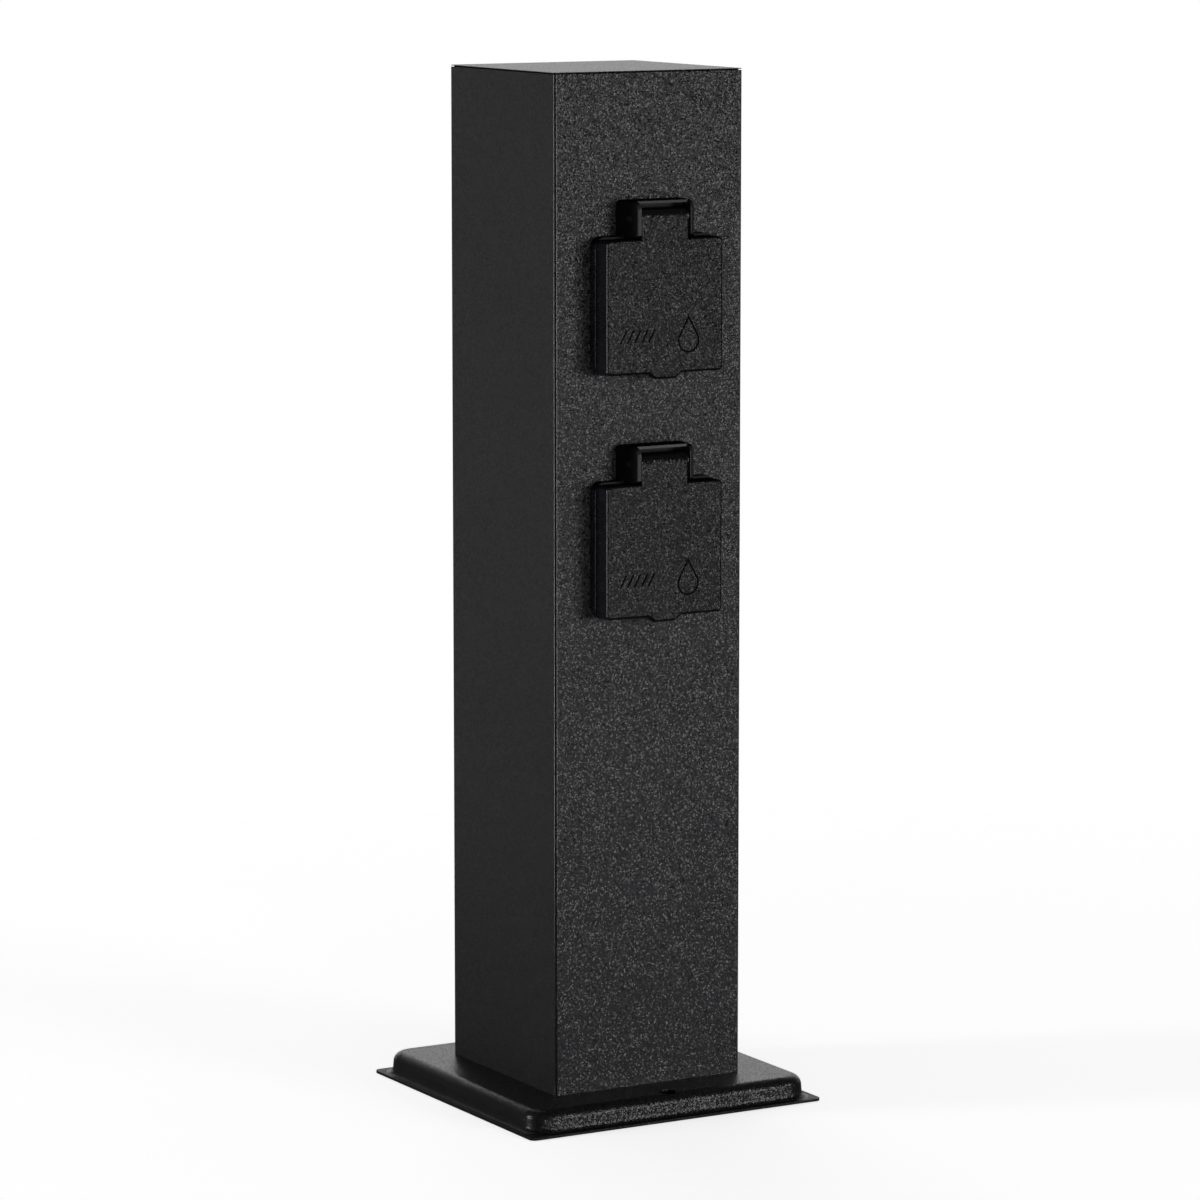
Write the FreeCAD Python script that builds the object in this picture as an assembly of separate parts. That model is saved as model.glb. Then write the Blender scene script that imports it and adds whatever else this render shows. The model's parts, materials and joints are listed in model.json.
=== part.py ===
import FreeCAD
import Part
import math
import os

# Outdoor socket column. Millimetres, +Z up, outlets face -Y.
# The origin is the centre of the base plate's underside.

# Base plate: pressed sheet with a raised plateau and a thin lip around it
base_side = 126.4
base_sheet = 1.0
lip_width = 3.0
lip_corner = 2.5
plateau_height = 9.4
plateau_draft = 0.5
plateau_corner = 9.0
shoulder_radius = 3.2
cove_radius = 1.6
anchor_hole = 6.4
anchor_inset = 5.7

# Column: folded sheet tube closed by a pressed cap
column_side = 80.0
column_rise = 382.0
column_sheet = 1.5
fold_radius = 1.6
cap_sheet = 1.5
cap_edge = 0.7
cap_skirt = 14.0
cap_fit = 0.2
cap_notch = 7.7

# Foot brackets that tie the column to the base plate
bracket_sheet = 2.0
bracket_leg = 22.0
bracket_foot = 18.0
bracket_length = 44.0
bracket_screw_spacing = 26.0

# Metric screws of the foot brackets
foot_screw = 5.0
foot_head = 9.0
foot_head_height = 3.3
foot_head_round = 1.3
foot_slot_width = 1.0
foot_slot_depth = 1.2
foot_washer = 10.0
foot_washer_thickness = 1.0
foot_nut_flats = 8.0
foot_nut_height = 4.0
thread_end = 1.6
hole_clearance = 0.25

# Cable gland in the middle of the base plate
gland_thread = 20.0
gland_flats = 24.0
gland_collar = 5.0
gland_neck = 8.0
gland_neck_wall = 2.0
gland_dome_height = 13.0
gland_dome_wall = 2.4
gland_nut_height = 4.5
gland_spigot_end = 1.5
cable_bore = 11.0
cable_side_gap = 1.0
seal_length = 10.0

# Outlets, one above the other
outlet_drop = 85.8
outlet_pitch = 90.6
flange_rim = 4.0
flange_corner = 4.0
flange_thickness = 3.0
flange_edge = 0.5
gasket_thickness = 1.0
gasket_inset = 0.6
recess_bore = 39.2
recess_depth = 17.5
collar_wall = 1.9
floor_thickness = 3.0
cutout_gap = 0.5
key_width = 5.2
key_depth = 1.8
key_start = 2.0
pin_spacing = 19.0
pin_hole = 5.6
pin_hole_lead = 0.6
outlet_screw_inset = 6.5
outlet_screw = 3.0
outlet_screw_head = 5.8
outlet_screw_end = 2.2
cross_reach = 1.5
cross_width = 0.6
cross_depth = 0.8
outlet_nut_flats = 5.5
outlet_nut_height = 2.4

# Lid
lid_side_inset = 1.2
lid_end_inset = 0.95
lid_depth = 7.9
lid_corner = 1.6
lid_inner_corner = 0.8
lid_edge = 0.5
lid_front_wall = 2.0
lid_skirt_wall = 1.7
lid_gap = 0.3
tab_root = 15.4
tab_tip = 7.6
tab_drop = 2.1
tab_thickness = 3.2
seal_thickness = 1.0
seal_overlap = 0.7
seal_rib = 0.9
seal_rib_rise = 0.6
soft_gap = 0.3

# Hinge between the lid and its frame
pin_above_lid = 7.45
pin_diameter = 2.5
pin_end_inset = 0.15
pin_running_gap = 0.06
pin_tight_gap = 0.02
barrel_back_gap = 0.4
tongue_width = 20.2
tongue_thickness = 2.2
hinge_side_gap = 0.4
cheek_wall = 2.0
hood_rise = 6.0
hood_wall = 1.3
hood_proud = 0.2
hood_mouth = 1.7
hood_nose = 3.5
hood_corner = 2.5
hood_chin = 1.2
lid_swing_gap = 0.3

# Torsion spring that closes the lid
spring_wire = 0.6
spring_radius = 2.1
spring_turns = 4
spring_pitch = 1.05
spring_fixed_leg = 7.0
spring_end_gap = 1.05
spring_flange_gap = 0.38
spring_notch = 8.0
spring_clearance = 0.3

# Contact carrier, contacts and shutter behind the recess floor
carrier_inset = 0.6
carrier_depth = 18.0
shutter_pocket_radius = 14.2
shutter_thickness = 2.2
shutter_end_gap = 0.8
shutter_cover = 0.4
shutter_hub_wall = 1.94
shutter_travel = 38.0
shutter_gap = 0.3
hub_boss_wall = 1.1
hub_running_gap = 0.06
stop_post = 1.2
stop_inset = 2.3
leaf_thickness = 0.3
leaf_width = 1.6
leaf_anchor_x = -2.0
leaf_anchor_gap = 0.5
leaf_bend_x = 2.6
leaf_bend_gap = 1.0
leaf_slope_x = 6.4
leaf_slope_z = 8.5
leaf_foot_x = 8.4
leaf_foot_rise = 0.7
leaf_tip_x = 10.6
face_screw = 3.0
face_screw_head = 5.6
face_screw_head_height = 1.6
face_screw_head_round = 0.8
driver_slot_width = 0.8
driver_slot_depth = 0.8
face_screw_length = 12.0
contact_radius = 3.6
contact_bore = 2.45
contact_wall_gap = 0.15
contact_front_gap = 0.4
contact_slit = 0.8
contact_slit_end = 4.0
contact_bottom = 1.0
terminal_size = 8.0
terminal_bore_gap = 0.2
terminal_screw = 3.0
terminal_head = 4.6
terminal_head_height = 1.6
terminal_head_stand = 1.0
clip_width = 4.4
clip_sheet = 0.8
clip_slot_gap = 0.3
clip_root_inset = 2.6
clip_back_inset = 1.1
clip_touch_inset = 4.2
clip_end_inset = 1.3
clip_bend_depth = 12.6
clip_touch_depth = 7.4
clip_end_depth = 3.0
earth_terminal_rise = 12.0

# Supply terminal block on the rear wall
block_end_wall = 4.0
block_depth = 14.0
block_height = 20.0
block_base = 84.0
block_pitch = 10.0
clamp_wall = 1.4
clamp_bore_gap = 0.2
clamp_inset = 1.0
clamp_setback = 8.7
clamp_screw = 2.5
clamp_screw_spacing = 11.0
clamp_screw_sink = 2.0
clamp_screw_access = 0.6
block_edge = 1.0
block_groove = 1.2
block_groove_depth = 1.5
rail_sheet = 1.5
rail_wall_gap = 0.3
rail_foot = 8.0
rail_height = 26.0
rail_screw = 3.0
rail_nut_flats = 5.5
rail_nut_height = 2.4
rail_screw_head = 5.4
rail_screw_head_height = 1.6
rail_screw_end = 0.3
small_slot_width = 0.6
small_slot_depth = 0.7

# Earth stud on the rear wall
stud_x = 22.0
stud_z = 24.0
stud_diameter = 4.0
stud_length = 12.0
stud_nut_flats = 7.0
stud_nut_height = 3.2
stud_washer = 9.0
stud_washer_thickness = 0.8
lug_thickness = 1.0
lug_ring = 4.0
lug_neck = 4.4
lug_reach = 11.0
lug_barrel = 5.0
lug_barrel_wall = 0.7

# Insulated wires
wire_diameter = 2.8
wire_entry = 3.0
clamp_entry = 7.0
wire_bend_share = 0.45
wire_bow = 9.0

# Sizes and places that follow from the sizes above
plateau_half = base_side / 2 - lip_width
anchor_spacing = 2 * (plateau_half - anchor_inset)
cap_top = plateau_height + column_rise
column_top = cap_top - cap_sheet
column_front = -column_side / 2
column_inside = column_side / 2 - column_sheet
gasket_front = column_front - gasket_thickness
flange_front = gasket_front - flange_thickness
cup_radius = recess_bore / 2 + collar_wall
cutout_radius = cup_radius + cutout_gap
flange_side = 2 * (cup_radius + flange_rim)
outlet_screw_spacing = flange_side - 2 * outlet_screw_inset
lid_width = flange_side - 2 * lid_side_inset
lid_height = flange_side - 2 * lid_end_inset
lid_back = flange_front - lid_gap
lid_front = lid_back - lid_depth
lid_inside = lid_front + lid_front_wall
rim_y = lid_inside + seal_thickness + soft_gap
floor_front = rim_y + recess_depth
floor_back = floor_front + floor_thickness
barrel_radius = (flange_front - lid_front - barrel_back_gap) / 2
hood_front = barrel_radius + hood_proud
pin_rise = lid_height / 2 + pin_above_lid
pin_y = lid_front + barrel_radius
pin_radius = pin_diameter / 2
cheek_inner = tongue_width / 2 + hinge_side_gap
cheek_outer = cheek_inner + cheek_wall
spring_free_leg = pin_above_lid - spring_end_gap
carrier_radius = recess_bore / 2 - carrier_inset
carrier_back = floor_back + carrier_depth
shutter_pocket = shutter_thickness + 2 * shutter_gap
shutter_reach = shutter_pocket_radius - shutter_end_gap
shutter_blade = pin_hole + 2 * shutter_cover
hub_boss = face_screw / 2 + hub_boss_wall
shutter_hub = hub_boss + hub_running_gap + shutter_hub_wall
stop_radius = shutter_pocket_radius - stop_inset
pocket_back = floor_back + shutter_pocket
clip_root = recess_bore / 2 - clip_root_inset
clip_back = recess_bore / 2 - clip_back_inset
clip_touch = recess_bore / 2 - clip_touch_inset
clip_end = recess_bore / 2 - clip_end_inset
terminal_bore = wire_diameter + 2 * terminal_bore_gap
terminal_y = carrier_back + terminal_size / 2
clamp_bore = wire_diameter / 2 + clamp_bore_gap
clamp_radius = clamp_bore + clamp_wall
block_width = 2 * (block_pitch + clamp_radius + block_end_wall)
block_top = block_base + block_height
rail_screw_offset = block_pitch / 2
rail_web_back = column_inside - rail_wall_gap - rail_screw_end - rail_nut_height
rail_web_front = rail_web_back - rail_sheet
block_front = rail_web_front - block_depth
clamp_y = rail_web_front - clamp_setback
lug_y = column_inside - stud_nut_height
upper_centre = cap_top - outlet_drop
outlet_centres = {"upper": upper_centre, "lower": upper_centre - outlet_pitch}


def vector(x, y, z):
    return FreeCAD.Vector(x, y, z)


def block(x_low, x_high, y_low, y_high, z_low, z_high):
    corner = vector(x_low, y_low, z_low)
    return Part.makeBox(x_high - x_low, y_high - y_low, z_high - z_low, corner)


def rod_x(radius, x_low, x_high, y, z):
    return Part.makeCylinder(radius, x_high - x_low, vector(x_low, y, z), vector(1, 0, 0))


def rod_y(radius, x, y_low, y_high, z):
    return Part.makeCylinder(radius, y_high - y_low, vector(x, y_low, z), vector(0, 1, 0))


def rod_z(radius, x, y, z_low, z_high):
    return Part.makeCylinder(radius, z_high - z_low, vector(x, y, z_low), vector(0, 0, 1))


def cone_y(radius_low, radius_high, x, y_low, y_high, z):
    return Part.makeCone(radius_low, radius_high, y_high - y_low, vector(x, y_low, z), vector(0, 1, 0))


def hex_prism(flats, centre, direction, height):
    """A six-sided prism standing on centre along direction."""
    radius = flats / math.sqrt(3)
    normal = FreeCAD.Vector(direction)
    side = normal.cross(vector(1, 0, 0))
    if side.Length < 0.5:
        side = normal.cross(vector(0, 1, 0))
    side.normalize()
    other = normal.cross(side)
    corners = []
    for step in range(7):
        angle = math.radians(60 * step)
        corners.append(centre + side * (radius * math.cos(angle)) + other * (radius * math.sin(angle)))
    return Part.Face(Part.makePolygon(corners)).extrude(normal * height)


def round_edges(solid, radius, chosen):
    """Fillet every edge whose two ends both pass the test."""
    edges = []
    for edge in solid.Edges:
        if len(edge.Vertexes) == 2 and all(chosen(end.Point) for end in edge.Vertexes):
            edges.append(edge)
    return solid.makeFillet(radius, edges)


def near(value, target):
    return abs(value - target) < 0.001


def upright_plate(width, height, corner, y_low, y_high, z_centre):
    """A plate standing across Y with its four corners rounded."""
    plate = block(-width / 2, width / 2, y_low, y_high, z_centre - height / 2, z_centre + height / 2)
    edges = [edge for edge in plate.Edges if near(abs(edge.tangentAt(0).y), 1)]
    return plate.makeFillet(corner, edges)


def level_plate(half_side, corner, z_low, z_high):
    """A square plate lying across Z with its four corners rounded."""
    plate = block(-half_side, half_side, -half_side, half_side, z_low, z_high)
    edges = [edge for edge in plate.Edges if near(abs(edge.tangentAt(0).z), 1)]
    return plate.makeFillet(corner, edges)


def strip_outline(points, thickness):
    """Both sides of a bent sheet's middle line, mitred at its bends, in the plane of the line."""
    left = []
    right = []
    last = len(points) - 1
    for index, (a, b) in enumerate(points):
        before = points[max(index - 1, 0)]
        after = points[min(index + 1, last)]
        directions = []
        for start, end in ((before, (a, b)), ((a, b), after)):
            run = math.hypot(end[0] - start[0], end[1] - start[1])
            if run > 0:
                directions.append(((end[0] - start[0]) / run, (end[1] - start[1]) / run))
        normals = [(-d[1], d[0]) for d in directions]
        middle = (sum(n[0] for n in normals), sum(n[1] for n in normals))
        size = math.hypot(middle[0], middle[1])
        middle = (middle[0] / size, middle[1] / size)
        spread = thickness / 2 / (middle[0] * normals[0][0] + middle[1] * normals[0][1])
        left.append((a + middle[0] * spread, b + middle[1] * spread))
        right.append((a - middle[0] * spread, b - middle[1] * spread))
    return left + right[::-1]


def prism(outline, to_point, travel):
    """Extrude an outline of flat points that to_point places in space."""
    corners = [to_point(a, b) for a, b in outline]
    corners.append(corners[0])
    return Part.Face(Part.makePolygon(corners)).extrude(travel)


def arc_middle(start, tangent, end):
    """The middle point of the arc that leaves start along tangent and reaches end."""
    chord = end - start
    along = FreeCAD.Vector(chord).normalize()
    bulge = tangent - along * tangent.dot(along)
    turn = tangent.getAngle(chord)
    return (start + end) * 0.5 + bulge.normalize() * (chord.Length / 2 * math.tan(turn / 2))


def biarc(start, start_tangent, end, end_tangent):
    """Two arcs that join two points and match the directions at both."""
    chord = end - start
    both = start_tangent + end_tangent
    a = 2 * (start_tangent.dot(end_tangent) - 1)
    b = -2 * chord.dot(both)
    c = chord.dot(chord)
    reach = (-b - math.sqrt(b * b - 4 * a * c)) / (2 * a)
    joint = (start + end + (start_tangent - end_tangent) * reach) * 0.5
    first = Part.Arc(start, arc_middle(start, start_tangent, joint), joint)
    second = Part.Arc(joint, arc_middle(end, end_tangent * -1, joint), end)
    return [first.toShape(), second.toShape()]


def swept_round(edges, radius, start, direction):
    """A round bar swept along joined edges."""
    circle = Part.Wire(Part.Circle(start, direction, radius).toShape())
    return Part.Wire(edges).makePipeShell([circle], True, False)


def wire_along(points, diameter):
    """A round wire: straight runs through the points, joined by the largest tangent arcs."""
    corners = [vector(*point) for point in points]
    edges = []
    place = corners[0]
    for before, corner, after in zip(corners, corners[1:], corners[2:]):
        coming = corner - before
        going = after - corner
        turn = coming.getAngle(going)
        trim = wire_bend_share * min(coming.Length, going.Length)
        arc_start = corner - FreeCAD.Vector(coming).normalize() * trim
        arc_end = corner + FreeCAD.Vector(going).normalize() * trim
        tangent = FreeCAD.Vector(coming).normalize()
        edges.append(Part.LineSegment(place, arc_start).toShape())
        edges.append(Part.Arc(arc_start, arc_middle(arc_start, tangent, arc_end), arc_end).toShape())
        print("wire bend radius", round(trim / math.tan(turn / 2), 1))
        place = arc_end
    edges.append(Part.LineSegment(place, corners[-1]).toShape())
    length = sum(edge.Length for edge in edges)
    solid = swept_round(edges, diameter / 2, corners[0], corners[1] - corners[0])
    ideal = math.pi * diameter ** 2 / 4 * length
    print("wire length", round(length, 1), "volume share", round(solid.Volume / ideal, 4))
    return solid


def raised_block(half, height, corner, shoulder):
    """A square block with leaning walls, rounded corners and a rounded shoulder."""
    low = level_plate(half, corner, 0, height)
    foot = [edge for edge in low.Edges if near(edge.CenterOfMass.z, 0)]
    wire_low = Part.Wire(Part.__sortEdges__(foot))
    wire_high = wire_low.copy()
    wire_high.scale(1 - plateau_draft / half, vector(0, 0, 0))
    wire_high.translate(vector(0, 0, height))
    body = Part.makeLoft([wire_low, wire_high], True)
    rim = [edge for edge in body.Edges if near(edge.CenterOfMass.z, height)]
    return body.makeFillet(shoulder, rim)


def follows_crease(edge):
    """Whether an edge lies where the base plate's wall meets the top of its lip."""
    middle = edge.CenterOfMass
    reach = max(abs(middle.x), abs(middle.y))
    return near(middle.z, base_sheet) and reach < plateau_half + 0.001


def base_plate():
    """The pressed base: thin lip, leaning wall, rounded shoulder and plateau, hollow below."""
    outer = raised_block(plateau_half, plateau_height, plateau_corner, shoulder_radius)
    lip = level_plate(base_side / 2, lip_corner, 0, base_sheet)
    inner = raised_block(plateau_half - base_sheet, plateau_height - base_sheet,
                         plateau_corner - base_sheet, shoulder_radius - base_sheet)
    plate = outer.fuse(lip).removeSplitter()
    crease = [edge for edge in plate.Edges if follows_crease(edge)]
    plate = plate.makeFillet(cove_radius, crease).cut(inner)
    for side in (-1, 1):
        anchor = rod_z(anchor_hole / 2, 0, side * anchor_spacing / 2, -1, plateau_height + 1)
        plate = plate.cut(anchor)
    for x, y in foot_screw_places():
        plate = plate.cut(rod_z(foot_screw / 2 + hole_clearance, x, y, -1, plateau_height + 1))
    return plate.cut(rod_z(gland_thread / 2 + hole_clearance, 0, 0, -1, plateau_height + 1))


def column_shell():
    """The square tube with the two round cut-outs and the screw holes of the outlets."""
    shell = level_plate(column_side / 2, fold_radius, plateau_height, column_top)
    hollow = block(-column_inside, column_inside, -column_inside, column_inside, 0, cap_top)
    shell = shell.cut(hollow)
    for z in outlet_centres.values():
        shell = shell.cut(rod_y(cutout_radius, 0, column_front - 1, -column_inside + 1, z))
        for x, dz in outlet_screw_offsets():
            hole = rod_y(outlet_screw / 2 + hole_clearance, x, column_front - 1, -column_inside + 1, z + dz)
            shell = shell.cut(hole)
    return shell


def top_cap():
    """The pressed cap: a plate on the tube's end with a skirt inside the tube."""
    plate = level_plate(column_side / 2, fold_radius, column_top, cap_top)
    rim = [edge for edge in plate.Edges if near(edge.CenterOfMass.z, cap_top)]
    plate = plate.makeFillet(cap_edge, rim)
    reach = column_inside - cap_fit
    skirt = block(-reach, reach, -reach, reach, column_top - cap_skirt, column_top)
    inside = reach - cap_sheet
    core = block(-inside, inside, -inside, inside, column_top - cap_skirt - 1, column_top)
    notch = reach - cap_notch
    arms = block(-notch, notch, -reach, reach, column_top - cap_skirt, column_top)
    arms = arms.fuse(block(-reach, reach, -notch, notch, column_top - cap_skirt, column_top))
    return plate.fuse(skirt.common(arms).cut(core)).removeSplitter()


def foot_screw_places():
    x = column_inside - bracket_foot / 2
    y = bracket_screw_spacing / 2
    return [(-x, -y), (-x, y), (x, -y), (x, y)]


def foot_bracket(side):
    """An angle welded to the tube's side wall, its foot on the plateau."""
    half = bracket_length / 2
    wall = side * column_inside
    leg = sorted((wall, wall - side * bracket_sheet))
    foot = sorted((wall, wall - side * bracket_foot))
    top = plateau_height + bracket_leg
    angle = block(leg[0], leg[1], -half, half, plateau_height, top)
    angle = angle.fuse(block(foot[0], foot[1], -half, half, plateau_height, plateau_height + bracket_sheet))
    for x, y in foot_screw_places():
        if x * side > 0:
            angle = angle.cut(rod_z(foot_screw / 2 + hole_clearance, x, y, 0, top))
    return angle.removeSplitter()


def foot_fasteners():
    """Screws from below, with washers and nuts on the bracket feet."""
    seat = plateau_height - base_sheet
    bracket_top = plateau_height + bracket_sheet
    washer_top = bracket_top + foot_washer_thickness
    nut_top = washer_top + foot_nut_height
    screws = []
    washers = []
    nuts = []
    for x, y in foot_screw_places():
        head = rod_z(foot_head / 2, x, y, seat - foot_head_height, seat)
        low_rim = [edge for edge in head.Edges if near(edge.CenterOfMass.z, seat - foot_head_height)]
        head = head.makeFillet(foot_head_round, low_rim[:1])
        shank = rod_z(foot_screw / 2, x, y, seat, nut_top + thread_end)
        slot_top = seat - foot_head_height + foot_slot_depth
        slot = block(x - foot_head, x + foot_head, y - foot_slot_width / 2, y + foot_slot_width / 2,
                     0, slot_top)
        screws.append(head.fuse(shank).cut(slot).removeSplitter())
        opening = rod_z(foot_screw / 2 + pin_tight_gap, x, y, 0, nut_top + 1)
        washers.append(rod_z(foot_washer / 2, x, y, bracket_top, washer_top).cut(opening))
        nut = hex_prism(foot_nut_flats, vector(x, y, washer_top), vector(0, 0, 1), foot_nut_height)
        nuts.append(nut.cut(opening))
    return {"foot_screws": screws, "foot_washers": washers, "foot_nuts": nuts}


def gland():
    """The cable gland: body through the plateau, lock nut below, seal and dome nut above."""
    up = vector(0, 0, 1)
    collar_top = plateau_height + gland_collar
    neck_top = collar_top + gland_neck
    seal_radius = gland_thread / 2 - gland_neck_wall
    seal_base = collar_top - (seal_length - gland_neck) / 2
    spigot = rod_z(gland_thread / 2, 0, 0, gland_spigot_end, plateau_height)
    body = spigot.fuse(hex_prism(gland_flats, vector(0, 0, plateau_height), up, gland_collar))
    body = body.fuse(rod_z(gland_thread / 2, 0, 0, collar_top, neck_top))
    body = body.cut(rod_z(cable_bore / 2 + cable_side_gap, 0, 0, 0, neck_top + 1))
    body = body.cut(rod_z(seal_radius + pin_tight_gap, 0, 0, seal_base, neck_top + 1)).removeSplitter()
    seal = rod_z(seal_radius, 0, 0, seal_base, seal_base + seal_length)
    seal = seal.cut(rod_z(cable_bore / 2, 0, 0, 0, neck_top + seal_length))
    dome_base = collar_top + soft_gap
    dome_top = dome_base + gland_dome_height
    dome = hex_prism(gland_flats, vector(0, 0, dome_base), up, gland_neck)
    crown = rod_z(gland_flats / 2, 0, 0, dome_base + gland_neck, dome_top)
    crown_rim = [edge for edge in crown.Edges if near(edge.CenterOfMass.z, dome_top)]
    dome = dome.fuse(crown.makeFillet(gland_dome_wall, crown_rim[:1]))
    dome = dome.cut(rod_z(gland_thread / 2 + pin_running_gap, 0, 0, dome_base - 1, neck_top + soft_gap))
    dome = dome.cut(rod_z(seal_radius + soft_gap, 0, 0, dome_base, seal_base + seal_length + soft_gap))
    dome = dome.cut(rod_z(cable_bore / 2 + cable_side_gap, 0, 0, 0, dome_top + 1)).removeSplitter()
    seat = plateau_height - base_sheet
    lock = hex_prism(gland_flats, vector(0, 0, seat - gland_nut_height), up, gland_nut_height)
    lock = lock.cut(rod_z(gland_thread / 2 + pin_tight_gap, 0, 0, 0, seat + 1))
    return {"gland_body": body, "gland_seal": seal, "gland_dome_nut": dome, "gland_lock_nut": lock}


def outlet_screw_offsets():
    half = outlet_screw_spacing / 2
    return [(-half, -half), (half, -half), (-half, half), (half, half)]


def flange_gasket(z):
    side = flange_side - 2 * gasket_inset
    sheet = upright_plate(side, side, flange_corner - gasket_inset, gasket_front, column_front, z)
    sheet = sheet.cut(rod_y(cutout_radius, 0, gasket_front - 1, column_front + 1, z))
    for x, dz in outlet_screw_offsets():
        hole = rod_y(outlet_screw / 2 + hole_clearance, x, gasket_front - 1, column_front + 1, z + dz)
        sheet = sheet.cut(hole)
    return sheet


def hinge_hood(z):
    """The hood above the flange: two cheeks that carry the pin, joined by a short roof."""
    pin_z = z + pin_rise
    top = pin_z + hood_rise
    front = pin_y - hood_front
    swing = pin_rise - lid_height / 2 - lid_swing_gap
    foot = pin_z - swing - 1
    behind = flange_front - pin_y
    front_low = pin_z - math.sqrt(swing ** 2 - hood_front ** 2)
    back_low = pin_z - math.sqrt(swing ** 2 - behind ** 2)
    face = block(-cheek_outer, cheek_outer, front - 1, gasket_front, foot, top)
    face = round_edges(face, hood_corner, lambda p: near(p.z, top) and near(abs(p.x), cheek_outer))

    def at(y, height):
        return vector(-cheek_outer - 1, y, height)

    nose_y = front + hood_nose
    nose_z = top - hood_nose
    nose_middle = at(nose_y - hood_nose * math.sqrt(0.5), nose_z + hood_nose * math.sqrt(0.5))
    edges = [
        Part.LineSegment(at(gasket_front, foot), at(gasket_front, top)),
        Part.LineSegment(at(gasket_front, top), at(nose_y, top)),
        Part.Arc(at(nose_y, top), nose_middle, at(front, nose_z)),
        Part.LineSegment(at(front, nose_z), at(front, front_low)),
        Part.Arc(at(front, front_low), at(pin_y, pin_z - swing), at(flange_front, back_low)),
        Part.LineSegment(at(flange_front, back_low), at(flange_front, foot)),
        Part.LineSegment(at(flange_front, foot), at(gasket_front, foot)),
    ]
    side = Part.Face(Part.Wire([edge.toShape() for edge in edges]))
    side = side.extrude(vector(2 * cheek_outer + 2, 0, 0))
    side = round_edges(side, hood_chin, lambda p: near(p.y, front) and near(p.z, front_low))
    hood = face.common(side)
    ceiling = top - hood_wall
    hood = hood.cut(block(-cheek_inner, cheek_inner, front - 1, flange_front, foot - 1, ceiling))
    return hood.cut(block(-cheek_inner, cheek_inner, front - 1, pin_y - hood_mouth, foot - 1, top + 1))


def socket_body(z):
    """Flange, hinge hood and recess cup in one moulding, with pin holes, keys and clip slots."""
    body = upright_plate(flange_side, flange_side, flange_corner, flange_front, gasket_front, z)
    front_rim = [edge for edge in body.Edges if near(edge.CenterOfMass.y, flange_front)]
    body = body.makeFillet(flange_edge, front_rim)
    cup = rod_y(cup_radius, 0, rim_y, floor_back, z)
    cup = cup.makeFillet(flange_edge, [edge for edge in cup.Edges if near(edge.CenterOfMass.y, rim_y)][:1])
    body = body.fuse(cup).fuse(hinge_hood(z))
    body = body.cut(rod_y(recess_bore / 2, 0, rim_y - 1, floor_front, z))
    for side in (-1, 1):
        outer = recess_bore / 2 + collar_wall / 2
        inner = recess_bore / 2 - key_depth
        key = block(inner, outer, rim_y + key_start, floor_front, z - key_width / 2, z + key_width / 2)
        if side < 0:
            key = key.mirror(vector(0, 0, 0), vector(1, 0, 0))
        body = body.fuse(key)
        x = side * pin_spacing / 2
        body = body.cut(rod_y(pin_hole / 2, x, floor_front - 1, floor_back + 1, z))
        lead_end = floor_front + pin_hole_lead
        body = body.cut(cone_y(pin_hole / 2 + pin_hole_lead, pin_hole / 2, x, floor_front, lead_end, z))
        slot_half = clip_width / 2 + clip_slot_gap
        slot_low = clip_root - clip_sheet - clip_slot_gap
        slot_high = clip_back + clip_sheet + clip_slot_gap
        slot = sorted((z + side * slot_low, z + side * slot_high))
        body = body.cut(block(-slot_half, slot_half, rim_y + key_start, floor_back + 1, slot[0], slot[1]))
    for x, dz in outlet_screw_offsets():
        shank = outlet_screw / 2 + hole_clearance
        body = body.cut(rod_y(shank, x, flange_front - 1, gasket_front + 1, z + dz))
        body = body.cut(countersink(x, z + dz, hole_clearance))
    reach = cheek_outer + 1
    body = body.cut(rod_x(pin_radius + pin_tight_gap, -reach, reach, pin_y, z + pin_rise))
    body = body.cut(rod_y(face_screw / 2 + hole_clearance, 0, floor_front - 1, floor_back + 1, z))
    return body.removeSplitter()


def countersink(x, z, gap):
    """The cone of a flat-headed outlet screw, widest at the flange's front."""
    head = outlet_screw_head / 2 + gap
    shank = outlet_screw / 2 + gap
    return cone_y(head, shank, x, flange_front, flange_front + head - shank, z)


def outlet_fasteners():
    """Flat-headed screws through flange, gasket and column wall, with nuts behind the wall."""
    nut_back = -column_inside + outlet_nut_height
    tip = nut_back + outlet_screw_end
    screws = []
    nuts = []
    for z in outlet_centres.values():
        for x, dz in outlet_screw_offsets():
            screw = countersink(x, z + dz, 0).fuse(rod_y(outlet_screw / 2, x, flange_front, tip, z + dz))
            for reach, half in ((cross_reach, cross_width / 2), (cross_width / 2, cross_reach)):
                cross = block(x - reach, x + reach, flange_front - 1, flange_front + cross_depth,
                              z + dz - half, z + dz + half)
                screw = screw.cut(cross)
            screws.append(screw.removeSplitter())
            nut = hex_prism(outlet_nut_flats, vector(x, -column_inside, z + dz), vector(0, 1, 0),
                            outlet_nut_height)
            opening = rod_y(outlet_screw / 2 + pin_tight_gap, x, -column_inside - 1, nut_back + 1, z + dz)
            nuts.append(nut.cut(opening))
    return {"outlet_screws": screws, "outlet_nuts": nuts}


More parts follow.
